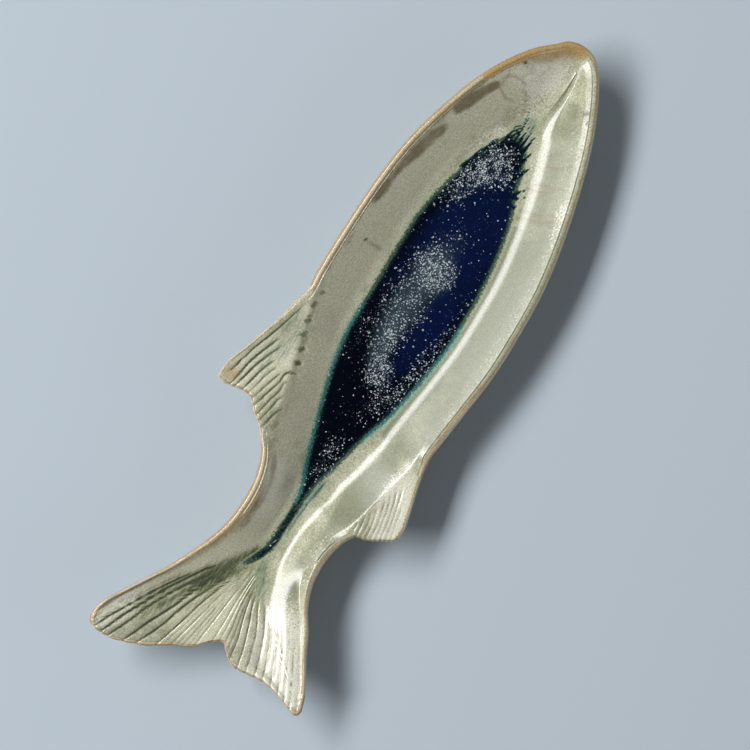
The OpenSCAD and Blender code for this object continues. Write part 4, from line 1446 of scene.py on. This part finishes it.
class Brush:
    """Lays colours over one another in the node tree of a new material."""

    # Level of a noise at which a spot begins when nothing else helps it, how much a full amount helps
    # it, and the small amount up to which spots only fade in
    SPOT_LEVEL = 0.83
    SPOT_HELP = 0.66
    SPOT_FADE = 0.15

    def __init__(self, name: str, grains: dict[str, tuple[float, float]], marks: tuple[str, ...] = (),
                 rough: float = 0.62) -> None:
        """Starts the material, with the noises and the attributes that its colours follow.

        Args:
            name: The material's name.
            grains: Grain size in millimetres and detail of each noise, by the noise's name.
            marks: Names of the glaze pattern's attributes that it reads.
            rough: How strong the finer grains of the noises are.
        """
        self.material, self.tree = new_material(name)
        where = add(self.tree, "TexCoord").outputs["Object"]
        self.point = add(self.tree, "VectorMath", {0: where, "Scale": 1 / MM}, operation="SCALE").outputs[0]
        self.grains = {
            key: add(self.tree, "TexNoise", {
                "Vector": self.point, "Scale": 1 / size, "Detail": detail, "Roughness": rough,
            }).outputs["Fac"] for key, (size, detail) in grains.items()
        }
        self.marks = {
            key: add(self.tree, "Attribute", attribute_name=key).outputs["Fac"] for key in marks
        }

    def layer(self, below: Socket | str, colour: Socket | str, value: Socket, start: float, end: float,
              most: Socket | float = 1.0, fade: Fade = Fade.SOFT) -> Socket:
        """Lays a colour over what is below, more and more as a value goes from a start to an end.

        Args:
            below: The colour below, as a socket or a hex code.
            colour: The colour that is laid over it, as a socket or a hex code.
            value: Socket with the value.
            start: Value where nothing is laid. It may be above the end.
            end: Value where the most is laid.
            most: The most that is laid, from 0 to 1.
            fade: How it grows in between.

        Returns:
            The colour's socket.
        """
        mask = add(self.tree, "MapRange", {
            0: value, 1: start, 2: end, 3: 0.0, 4: most}, interpolation_type=fade.value)
        below, colour = (linear(c) if isinstance(c, str) else c for c in (below, colour))
        mixed = add(self.tree, "Mix", {"Factor": mask.outputs[0], 6: below, 7: colour}, data_type="RGBA")
        return mixed.outputs[2]

    def spots(self, below: Socket, colour: str, amount: Socket, grain: Socket, soft: float) -> Socket:
        """Lays spots of a colour, which grow out of a noise as an amount rises from 0 to 1.

        Args:
            below: The colour below.
            colour: The spots' colour, as a hex code.
            amount: Socket with the share to cover.
            grain: Socket with the noise that the spots follow.
            soft: How soft the spots' edges are, in the noise's own units.

        Returns:
            The colour's socket.
        """
        level = add(self.tree, "Math", {
            0: amount, 1: self.SPOT_HELP, 2: grain}, operation="MULTIPLY_ADD").outputs[0]
        gate = add(self.tree, "MapRange", {
            0: amount, 1: 0.0, 2: self.SPOT_FADE, 3: 0.0, 4: 1.0}, interpolation_type=Fade.SOFT.value)
        start, end = self.SPOT_LEVEL - soft, self.SPOT_LEVEL + soft
        return self.layer(below, colour, level, start, end, gate.outputs[0])

    def shades(self, value: Socket, stops: tuple[tuple[float, str], ...]) -> Socket:
        """Colours along a range of values.

        Args:
            value: Socket with the value.
            stops: Each colour's value and hex code, in rising order.

        Returns:
            The colour's socket.
        """
        low, high = stops[0][0], stops[-1][0]
        share = add(self.tree, "MapRange", {0: value, 1: low, 2: high}).outputs[0]
        node = add(self.tree, "ValToRGB", {0: share})
        elements = node.color_ramp.elements
        while len(elements) < len(stops):
            elements.new(0.5)
        for element, (place, colour) in zip(elements, stops):
            element.position = (place - low) / (high - low)
            element.color = linear(colour)
        return node.outputs[0]

    def finish(self, base: Socket, relief: tuple[str, float, float], **surface: float) -> bpy.types.Material:
        """Ends the material in one shader with a faint relief.

        Args:
            base: The colour's socket.
            relief: Noise that the relief follows, its strength, and its height in metres.
            surface: The shader's other values, such as its roughness.

        Returns:
            The material.
        """
        grain, strength, height = relief
        bump = add(self.tree, "Bump", {
            "Height": self.grains[grain], "Strength": strength, "Distance": height})
        shader = add(self.tree, "BsdfPrincipled", {
            "Base Color": base, "Normal": bump.outputs[0], **surface})
        add(self.tree, "OutputMaterial", {"Surface": shader.outputs[0]})
        return self.material


@dataclass(frozen=True)
class CrystalLayer:
    """Crystals of one size in the cobalt glaze, one at most to each cell of a random mesh.

    Attributes:
        cell_mm: Size of a cell.
        reach: Radius of the crystals, as a share of the cell.
        share: How many cells have one, for each unit of the pattern's amount.
        colour: Their colour.
    """

    cell_mm: float
    reach: float
    share: float
    colour: str


@dataclass(frozen=True)
class ReactiveGlaze:
    """Glossy reactive stoneware glaze, poured over celadon: it pools blue and breaks tan on edges.

    To the eye it is a glassy coat over a mottled, slightly crystalline colour, so the gloss is even
    and the colour is not.
    """

    celadon_dark: str = "989a7d"
    celadon: str = "b2b398"
    celadon_light: str = "c9c8b2"
    # Pale and deep celadon: the glaze's own paler and deeper places, also painted light on the dorsal wall
    # and painted shade on the belly wall
    pale_celadon_and_painted_light: str = "cfcdb3"
    deep_celadon_and_painted_shade: str = "868970"
    frost: str = "dddbc9"
    brown: str = "847a60"
    brown_line: str = "6a5d42"
    tan: str = "a38f68"
    tan_pale: str = "cbc0a6"
    gold: str = "aa8850"
    groove: str = "7d7759"
    olive: str = "80835c"
    moss: str = "4c5640"
    pitch: str = "20261f"
    sea: str = "b5bd9c"
    sea_deep: str = "94b5a2"
    bottle: str = "46584a"
    teal: str = "3c6e68"
    deep_teal: str = "10282c"
    ink: str = "02050f"
    cobalt: str = "06143a"
    haze: str = "43545e"
    snow: str = "d3dde0"
    soot: str = "2a2820"
    roughness: float = 0.18
    gloss_index: float = 1.51
    # The real mottling has grains of a few tenths of a millimetre. They are too fine for the render,
    # so grain, crystal, streak and speckle are drawn about as coarse as one of its dots.
    grain_mm: float = 1.3
    crystal_mm: float = 1.2
    blotch_mm: float = 13.0
    cloud_mm: float = 6.0
    streak_mm: float = 1.3
    speckle_mm: float = 0.8
    # The streaks follow the tail's rays. They are drawn out by shrinking the noise along them.
    streak_turn: float = -28.0
    streak_shrink: float = 0.12
    stray_crystals: float = 0.012
    # Distances from the dish's edge where each band of thin glaze sets in and where it is full
    line_band: tuple[float, float] = (7.0, 5.6)
    tan_band: tuple[float, float] = (5.2, 4.4)
    pale_band: tuple[float, float] = (4.2, 3.4)
    gold_band: tuple[float, float] = (2.4, 1.5)
    # Distances into the pool where each band sets in and where it is full, with the noise added
    cover_band: tuple[float, float] = (-2.1, 1.5)
    green_band: tuple[float, float] = (-0.1, 1.9)
    teal_band: tuple[float, float] = (2.5, 3.9)
    deep_band: tuple[float, float] = (3.5, 5.5)
    # How far the noise moves the bands of the rim and of the pool
    rim_noise: float = 2.0
    pool_noise: float = 5.0
    relief_height: float = 0.00006

    @property
    def crystals(self) -> tuple[CrystalLayer, ...]:
        """Crystals in the cobalt glaze, from a fine dust to the few large ones.

        Returns:
            A layer for each size.
        """
        return (
            CrystalLayer(0.8, 0.44, 1.7, self.haze), CrystalLayer(0.9, 0.4, 1.2, self.snow),
            CrystalLayer(1.4, 0.28, 0.6, self.snow), CrystalLayer(4.2, 0.12, 9.0, self.snow),
        )

    def build(self, name: str, side: Side) -> bpy.types.Material:
        """Makes the material.

        Args:
            name: The material's name.
            side: The face has the whole pattern, and the back only the celadon and its rim.

        Returns:
            The material.
        """
        grains = {
            "grain": (self.grain_mm, 3.0), "blotch": (self.blotch_mm, 4.0), "speckle": (self.speckle_mm, 2.0),
        }
        marks = ("rim",)
        if side is Side.FACE:
            grains["crystal"] = (self.crystal_mm, 2.0)
            grains["fine"] = (self.crystal_mm * 0.6, 2.0)
            grains["cloud"] = (self.cloud_mm, 4.0)
            marks += ("groove", "pool", "stain", *SUMS, *SHAPES)
        brush = Brush(name, grains, marks)
        tone = add(brush.tree, "Math", {
            0: brush.grains["grain"], 1: 1.2, 2: brush.grains["blotch"]}, operation="MULTIPLY_ADD").outputs[0]
        base = brush.shades(tone, (
            (0.86, self.celadon_dark), (1.1, self.celadon), (1.34, self.celadon_light),
        ))
        if side is Side.FACE:
            base = self.mottled_with_painted_light_and_shade(brush, base)
        base = self.rimmed(brush, base, side)
        if side is Side.FACE:
            base = self.pooled(brush, base)
            base = brush.layer(base, self.soot, brush.marks["pinhole"], 0.0, 1.0, fade=Fade.EVEN)
        speckle = add(brush.tree, "Math", {
            0: brush.grains["speckle"], 1: 1.5, 2: 0.25}, operation="MULTIPLY_ADD").outputs[0]
        base = add(brush.tree, "VectorMath", {0: base, "Scale": speckle}, operation="SCALE").outputs[0]
        relief = ("grain", 0.3, self.relief_height)
        return brush.finish(base, relief, Roughness=self.roughness, IOR=self.gloss_index)

    def mottled_with_painted_light_and_shade(self, brush: Brush, base: Socket) -> Socket:
        """Lays the celadon's pale, deep, frosted and browned places, and what gathers in the grooves. Some
        are painted light and shade: pale on the dorsal wall, deep on the belly wall, brown along the dorsal
        fin's root.

        Args:
            brush: The material's brush.
            base: The colour below.

        Returns:
            The colour's socket.
        """
        marks, blotch = brush.marks, brush.grains["blotch"]
        # The pale spots paint light on the dorsal wall and the deep spots paint shade on the belly wall,
        # besides the glaze's own pale and deep places
        base = brush.spots(base, self.pale_celadon_and_painted_light, marks["pale"], blotch, 0.3)
        base = brush.spots(base, self.deep_celadon_and_painted_shade, marks["shade"], blotch, 0.3)
        base = brush.layer(base, self.groove, marks["groove"], 0.3, 1.1, 0.8)
        base = brush.layer(base, self.frost, marks["frost"], 0.0, 1.0, 0.3)
        base = brush.spots(base, self.frost, marks["frost"], brush.grains["crystal"], 0.1)
        base = brush.spots(base, self.brown, marks["brown"], blotch, 0.26)
        base = brush.layer(base, self.brown, marks["flow"], 0.0, 1.0, 0.85, Fade.EVEN)
        turned = add(brush.tree, "Mapping", {
            "Vector": brush.point, "Rotation": (0, 0, math.radians(self.streak_turn)),
            "Scale": (self.streak_shrink, 1, 1),
        }).outputs[0]
        streak = add(brush.tree, "TexNoise", {
            "Vector": turned, "Scale": 1 / self.streak_mm, "Detail": 2.0, "Roughness": 0.62,
        }).outputs["Fac"]
        for name, colours in (
            ("stain", ((0.37, self.olive), (0.75, self.moss), (1.2, self.pitch))),
            ("teal", ((0.35, self.sea), (0.65, self.teal), (1.0, self.deep_teal))),
        ):
            level = add(brush.tree, "Math", {
                0: streak, 1: 0.5, 2: marks[name]}, operation="MULTIPLY_ADD").outputs[0]
            base = brush.layer(base, brush.shades(level, colours), level, 0.27, 0.7)
        return base

    def rimmed(self, brush: Brush, base: Socket, side: Side) -> Socket:
        """Lays what shows where the glaze is thin: a gold edge, a pale crest and a brown line inside.

        Args:
            brush: The material's brush.
            base: The colour below.
            side: The brown line and the wide gold are on the face alone.

        Returns:
            The colour's socket.
        """
        ragged = add(brush.tree, "Math", {
            0: brush.grains["grain"], 1: self.rim_noise, 2: brush.marks["rim"],
        }, operation="MULTIPLY_ADD").outputs[0]
        if side is Side.FACE:
            base = brush.layer(base, self.brown_line, ragged, *self.line_band, brush.marks["line"])
        base = brush.layer(base, self.tan, ragged, *self.tan_band, 0.9)
        base = brush.layer(base, self.tan_pale, ragged, *self.pale_band, 0.85)
        base = brush.layer(base, self.gold, ragged, *self.gold_band, 0.85)
        if side is Side.FACE:
            base = brush.layer(base, self.gold, brush.marks["tan"], 0.0, 1.0, 0.8)
        return base

    def pooled(self, brush: Brush, base: Socket) -> Socket:
        """Lays the cobalt glaze: a pale green fringe, a teal edge, and blue-black with crystals inside.

        Args:
            brush: The material's brush.
            base: The colour below.

        Returns:
            The colour's socket.
        """
        tree, marks, fine = brush.tree, brush.marks, brush.grains["fine"]
        grained = add(tree, "Math", {0: fine, 1: 0.9, 2: marks["blue"]}, operation="MULTIPLY_ADD").outputs[0]
        grained = add(tree, "Math", {
            0: brush.grains["cloud"], 1: 0.9, 2: grained}, operation="MULTIPLY_ADD").outputs[0]
        deep = brush.layer(self.ink, self.cobalt, grained, 0.9, 2.1)
        pale = brush.layer(self.sea, self.sea_deep, marks["fringe"], 0.1, 0.7)
        green = brush.layer(self.bottle, self.teal, marks["fringe"], 0.1, 0.7)
        edge = add(tree, "Math", {
            0: brush.grains["crystal"], 1: self.pool_noise, 2: marks["pool"],
        }, operation="MULTIPLY_ADD").outputs[0]
        pool = brush.layer(pale, green, edge, *self.green_band)
        pool = brush.layer(pool, self.deep_teal, edge, *self.teal_band)
        pool = brush.layer(pool, deep, edge, *self.deep_band)
        veil = add(tree, "Math", {0: marks["haze"], 1: fine}, operation="MULTIPLY").outputs[0]
        pool = brush.layer(pool, self.haze, veil, 0.05, 0.6, 0.75)
        pool = self.crystallised(brush, pool)
        return brush.layer(base, pool, edge, *self.cover_band)

    def crystallised(self, brush: Brush, pool: Socket) -> Socket:
        """Lays the crystals on the cobalt glaze.

        Args:
            brush: The material's brush.
            pool: The cobalt glaze's colour.

        Returns:
            The colour's socket.
        """
        tree = brush.tree
        clump = add(tree, "MapRange", {
            0: brush.grains["cloud"], 1: 0.3, 2: 0.72, 3: 0.3, 4: 1.6},
            interpolation_type=Fade.SOFT.value).outputs[0]
        amount = add(tree, "Math", {
            0: brush.marks["crystal"], 1: self.stray_crystals}, operation="ADD").outputs[0]
        amount = add(tree, "Math", {0: amount, 1: clump}, operation="MULTIPLY").outputs[0]
        for kind in self.crystals:
            cells = add(tree, "TexVoronoi", {"Vector": brush.point, "Scale": 1 / kind.cell_mm})
            lot = add(tree, "SeparateColor", {0: cells.outputs["Color"]}).outputs
            radius = add(tree, "Math", {
                0: lot[1], 1: kind.reach, 2: kind.reach / 2}, operation="MULTIPLY_ADD").outputs[0]
            within = add(tree, "Math", {
                0: radius, 1: cells.outputs["Distance"]}, operation="SUBTRACT").outputs[0]
            odds = add(tree, "Math", {0: amount, 1: kind.share}, operation="MULTIPLY").outputs[0]
            there = add(tree, "Math", {0: lot[0], 1: odds}, operation="LESS_THAN").outputs[0]
            glint = add(tree, "Math", {0: lot[2], 1: 0.7, 2: 0.3}, operation="MULTIPLY_ADD").outputs[0]
            seen = add(tree, "Math", {0: there, 1: glint}, operation="MULTIPLY").outputs[0]
            pool = brush.layer(pool, kind.colour, within, -0.5 * kind.reach, 0.3 * kind.reach, seen)
        return pool


@dataclass(frozen=True)
class BareStoneware:
    """Fired stoneware without glaze: a warm sandy clay, dry to the eye, with fine iron specks."""

    clay: str = "c3a784"
    warm: str = "b08d66"
    iron: str = "5a4028"
    roughness: float = 0.78
    toast_mm: float = 22.0
    # Real iron specks are finer, and are drawn coarser so that they show
    grit_mm: float = 0.9
    relief_height: float = 0.0001

    def build(self, name: str) -> bpy.types.Material:
        """Makes the material, with specks on a faintly toasted ground.

        Args:
            name: The material's name.

        Returns:
            The material.
        """
        brush = Brush(name, {"toast": (self.toast_mm, 4.0), "grit": (self.grit_mm, 2.0)}, rough=0.5)
        base = brush.shades(brush.grains["toast"], ((0.35, self.warm), (0.7, self.clay)))
        base = brush.layer(base, self.iron, brush.grains["grit"], 0.66, 0.74, fade=Fade.EVEN)
        return brush.finish(base, ("grit", 0.4, self.relief_height), Roughness=self.roughness)


def only(piece: bpy.types.Object) -> None:
    """Makes a piece the only one that is selected, and the active one.

    Args:
        piece: The piece.
    """
    bpy.ops.object.select_all(action="DESELECT")
    piece.select_set(True)
    bpy.context.view_layer.objects.active = piece


def wrapped_grid(name: str, rings: list[Array], looped: bool) -> bpy.types.Object:
    """A grid primitive that is wrapped round the fish, ring by ring, and closed.

    Args:
        name: The piece's name.
        rings: Rings of points in millimetres, each going round once.
        looped: Whether the last ring is followed by the first. Otherwise the first and the last
            ring lie on the spine, where the points of both halves are merged.

    Returns:
        The closed piece.
    """
    order = rings + [rings[0]] if looped else rings
    points = np.stack([np.vstack([ring, ring[:1]]) for ring in order])
    rows, columns = points.shape[:2]
    bpy.ops.object.select_all(action="DESELECT")
    bpy.ops.mesh.primitive_grid_add(x_subdivisions=columns - 1, y_subdivisions=rows - 1, size=1)
    piece = bpy.context.active_object
    piece.name = name
    mesh = piece.data
    mesh.name = name
    mesh.vertices.foreach_set("co", (points.reshape(-1) * MM).astype(np.float32))
    mesh.update()
    bpy.ops.object.mode_set(mode="EDIT")
    bpy.ops.mesh.select_all(action="SELECT")
    bpy.ops.mesh.remove_doubles(threshold=MERGE)
    bpy.ops.mesh.select_all(action="SELECT")
    bpy.ops.mesh.normals_make_consistent(inside=False)
    bpy.ops.object.mode_set(mode="OBJECT")
    bpy.ops.object.shade_smooth()
    return piece


def settle(piece: bpy.types.Object, material: bpy.types.Material, slot: str, *nodes: str) -> None:
    """Dresses a finished piece and hands it over to the body that it rides on.

    Args:
        piece: The finished piece, in the model's frame.
        material: Its only material.
        slot: Not used.
        nodes: The solids that it stands for.
    """
    piece.data.materials.clear()
    piece.data.materials.append(material)
    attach(piece, BODY)
    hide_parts(*nodes)
    faces = sum(len(p.vertices) - 2 for p in piece.data.polygons)
    LOG.info("%s: %d triangles", piece.name, faces)


@dataclass
class Moulding:
    """The clay of the dish: the moulded body and the foot ring that it stands on."""

    surface: DishSurface
    clearance: float = 0.12
    detail: int = 9
    foot_bevel: float = 0.5
    bevel_steps: int = 3
    # Degrees between faces: under the first they are merged, over the second their edge is rounded,
    # and under the third they are shaded as one
    flat_angle: float = 0.5
    edge_angle: float = 50.0
    smooth_angle: float = 35.0

    def build_body(self) -> None:
        """Models the clay body, just inside its coats."""
        rings = self.surface.face(-self.clearance, self.detail, hidden=True)
        rings += self.surface.underside(-self.clearance, self.detail)
        rings.append(self.surface.seam(-self.surface.form.clay))
        piece = wrapped_grid("stoneware_clay", rings, looped=False)
        settle(piece, BareStoneware().build("bare_fired_stoneware"), "stoneware", "stoneware_body")

    def build_foot(self) -> None:
        """Rounds the foot ring's edges on a copy of its solid."""
        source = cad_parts["foot_ring"]
        piece = bpy.data.objects.new("foot_ring_rounded", source.data.copy())
        bpy.context.scene.collection.objects.link(piece)
        only(piece)
        bpy.ops.object.mode_set(mode="EDIT")
        bpy.ops.mesh.select_all(action="SELECT")
        bpy.ops.mesh.remove_doubles(threshold=MERGE)
        bpy.ops.mesh.dissolve_limited(angle_limit=math.radians(self.flat_angle))
        bpy.ops.object.mode_set(mode="OBJECT")
        bevel = piece.modifiers.new("worn_edge", "BEVEL")
        bevel.width = self.foot_bevel * MM
        bevel.segments = self.bevel_steps
        bevel.angle_limit = math.radians(self.edge_angle)
        bpy.ops.object.modifier_apply(modifier=bevel.name)
        bpy.ops.object.shade_smooth_by_angle(angle=math.radians(self.smooth_angle))
        finish = BareStoneware(roughness=0.7).build("bare_stoneware_ground_foot")
        settle(piece, finish, "bare_foot", "foot_ring")


@dataclass
class GlazeCoats:
    """The two celadon coats and the cobalt glaze that has run together in the well."""

    surface: DishSurface
    pattern: GlazePattern
    coat: float = 0.6
    detail: int = 22
    hidden_detail: int = 6
    pool_depth: float = 0.7
    pool_rings: int = 22
    # Half a width of the pool at which it is full, and its least depth, as a share
    full_width: float = 12.0
    edge_share: float = 0.1
    # Where the line that the pool's rings close on begins and ends, along the fish
    pool_ends: tuple[float, float] = (-138.0, 160.0)
    # How far the pool's edge and its hidden rings lie in the coat
    sunk: float = 0.05
    hidden_shares: tuple[float, ...] = (1, 0.6, 0.3, 0.1)
    # Above 1 the rings lie closer to one another near the edge
    ring_spread: float = 1.4
    ray_start: float = 100.0

    def build_face(self, material: bpy.types.Material) -> bpy.types.Object:
        """Models the coat on the upper face and round the rim.

        Args:
            material: The glaze's material.

        Returns:
            The piece.
        """
        rings = self.surface.face(self.coat, self.detail)
        rings += self.surface.face(0, self.hidden_detail, hidden=True)[::-1]
        piece = wrapped_grid("celadon_face_glaze", rings, looped=False)
        self.pattern.write(piece, Side.FACE)
        settle(piece, material, "celadon_face", "face_glaze")
        return piece

    def build_back(self) -> None:
        """Models the coat on the underside, up to the edge of the bare base."""
        rings = self.surface.underside(self.coat, self.detail // 2)
        rings += self.surface.underside(0, self.hidden_detail)[::-1]
        piece = wrapped_grid("celadon_back_glaze", rings, looped=True)
        self.pattern.write(piece, Side.BACK)
        settle(piece, ReactiveGlaze().build("celadon_glaze_back", Side.BACK), "celadon_back", "back_glaze")

    def build_pool(self, face: bpy.types.Object, material: bpy.types.Material) -> None:
        """Lays the cobalt glaze on the face coat, thickest in the middle of the well.

        Args:
            face: The face coat, which it lies on.
            material: The glaze's material, shared with the coat so that its edge doesn't show.
        """
        edge = self.pattern.pool[:, :2]
        form = self.surface.form
        spine_x, spine_y, _ = form.spine_line()
        shift = self.surface.middle + FISH_MIDDLE
        step = form.seam_step
        axis_x = np.round(np.clip(edge[:, 0], *self.pool_ends) / step) * step
        axis = np.column_stack([axis_x, np.interp(axis_x + shift[0], spine_x, spine_y) - shift[1]])
        full = np.clip(np.linalg.norm(edge - axis, axis=1) / self.full_width, self.edge_share, 1)
        tree = BVHTree.FromObject(face, bpy.context.evaluated_depsgraph_get())

        def ring(share: float, lift: float) -> Array:
            """A ring of the pool.

            Args:
                share: Share of the way in from the pool's edge.
                lift: How far it is lifted off the coat, where the pool is full.

            Returns:
                The ring's points.
            """
            place = lerp(edge, axis, share) + FISH_MIDDLE
            starts = [(x * MM, y * MM, self.ray_start * MM) for x, y in place]
            height = [tree.ray_cast(start, (0, 0, -1))[0][2] / MM for start in starts]
            return np.column_stack([place, np.array(height) + np.where(lift > 0, lift * full, lift)])

        shares = np.linspace(0, 1, self.pool_rings) ** self.ring_spread
        below = [ring(share, -2 * self.sunk) for share in self.hidden_shares]
        above = [ring(share, lerp(-self.sunk, self.pool_depth, share * (2 - share))) for share in shares]
        piece = wrapped_grid("cobalt_pool_glaze", below + above, looped=False)
        self.pattern.write(piece, Side.FACE)
        settle(piece, material, "cobalt_glaze", "cobalt_pool")


@dataclass(frozen=True)
class Softbox:
    """A soft panel that faces the platter.

    Attributes:
        name: The light's name.
        turn: Its direction from the platter, in degrees from the fish's axis.
        elevation: Its height over the floor as seen from the platter, in degrees.
        distance: How far away it is.
        size: Its width and height.
        power: Its power in watts.
    """

    name: str
    turn: float
    elevation: float
    distance: float
    size: tuple[float, float]
    power: float

    def hang(self) -> None:
        """Hangs the panel at its place."""
        data = bpy.data.lights.new(self.name, "AREA")
        data.shape = "RECTANGLE"
        data.size, data.size_y = (length * MM for length in self.size)
        data.energy = self.power
        light = bpy.data.objects.new(self.name, data)
        up, around = math.radians(self.elevation), math.radians(self.turn)
        level, height = self.distance * MM * math.cos(up), self.distance * MM * math.sin(up)
        light.location = (level * math.cos(around), level * math.sin(around), height)
        light.rotation_euler = (math.pi / 2 - up, 0, around + math.pi / 2)
        bpy.context.scene.collection.objects.link(light)


@dataclass(frozen=True)
class Studio:
    """A plain pale floor, one softbox beside the platter and an even fill, with the camera above.

    Attributes:
        field: Width of the picture at the height of the rim.
        lens: The camera's focal length.
        sensor: Width of its sensor.
        centre: Middle of the picture, in the model's frame.
        roll: How the platter lies in the picture, in degrees.
        rim: Height of the rim.
        floor_size: Width of the floor in metres.
        floor_colour: The floor's colour.
        softbox: The main light, on the dorsal fin's side.
        card: A low reflector card opposite, which opens the shadow a little.
        fill: Strength of the even light, low down and straight above.
        fill_colour: Its colour, a trace of blue.
        fill_turn: How far up a direction points, as a share, where the fill begins to dim.
    """

    field: float = 497.325
    lens: float = 85.0
    sensor: float = 36.0
    centre: tuple[float, float] = (-8.6, -6.25)
    roll: float = -58.04
    rim: float = 27.0
    floor_size: float = 8.0
    floor_colour: str = "bec9d2"
    softbox: Softbox = Softbox("softbox", 102.0, 41.0, 5000.0, (5600.0, 1265.0), 338.0)
    card: Softbox = Softbox("reflector_card", 282.0, 13.0, 2500.0, (2400.0, 900.0), 13.0)
    fill: tuple[float, float] = (0.17, 0.02)
    fill_colour: str = "f4f8ff"
    fill_turn: float = 0.75

    def build_camera(self) -> None:
        """Sets the camera straight above, rolled as the platter lies in the picture."""
        data = bpy.data.cameras.new("camera_above")
        data.lens = self.lens
        data.sensor_width = self.sensor
        camera = bpy.data.objects.new("camera_above", data)
        distance = self.field * self.lens / self.sensor
        camera.location = (self.centre[0] * MM, self.centre[1] * MM, (self.rim + distance) * MM)
        camera.rotation_euler = (0, 0, math.radians(self.roll))
        bpy.context.scene.collection.objects.link(camera)
        bpy.context.scene.camera = camera

    def build_floor(self) -> None:
        """Lays the floor under the platter."""
        bpy.ops.object.select_all(action="DESELECT")
        bpy.ops.mesh.primitive_plane_add(size=self.floor_size)
        floor = bpy.context.active_object
        floor.name = "studio_floor"
        material, tree = new_material("matt_grey_blue_backdrop")
        shader = add(tree, "BsdfDiffuse", {"Color": linear(self.floor_colour)})
        add(tree, "OutputMaterial", {"Surface": shader.outputs[0]})
        floor.data.materials.append(material)

    def build_lights(self) -> None:
        """Hangs the two panels, and fills the rest with an even light that is dim straight above."""
        self.softbox.hang()
        self.card.hang()
        world = bpy.data.worlds.new("studio_fill")
        world.use_nodes = True
        tree = world.node_tree
        tree.nodes.clear()
        where = add(tree, "TexCoord").outputs["Generated"]
        height = add(tree, "SeparateXYZ", {0: where}).outputs[2]
        level = add(tree, "MapRange", {
            0: height, 1: self.fill_turn, 2: 1.0, 3: self.fill[0], 4: self.fill[1]})
        light = add(tree, "Background", {"Color": linear(self.fill_colour), "Strength": level.outputs[0]})
        add(tree, "OutputWorld", {"Surface": light.outputs[0]})
        bpy.context.scene.world = world


def main() -> None:
    """Builds the camera, the platter's pieces and the studio."""
    logging.basicConfig(level=logging.INFO, format="%(message)s")
    scene = bpy.context.scene
    scene.view_settings.view_transform = "Standard"
    studio = Studio()
    studio.build_camera()
    grooves = GrooveField(TAIL_GROOVES + DORSAL_GROOVES + ANAL_GROOVES)
    surface = DishSurface(DishForm(), grooves)
    pattern = GlazePattern(grooves, surface.s.edge - surface.middle)
    moulding = Moulding(surface)
    moulding.build_body()
    moulding.build_foot()
    coats = GlazeCoats(surface, pattern)
    glaze = ReactiveGlaze().build("reactive_celadon_and_cobalt_glaze", Side.FACE)
    face = coats.build_face(glaze)
    coats.build_back()
    coats.build_pool(face, glaze)
    studio.build_floor()
    studio.build_lights()


if __name__ == "__main__":
    main()
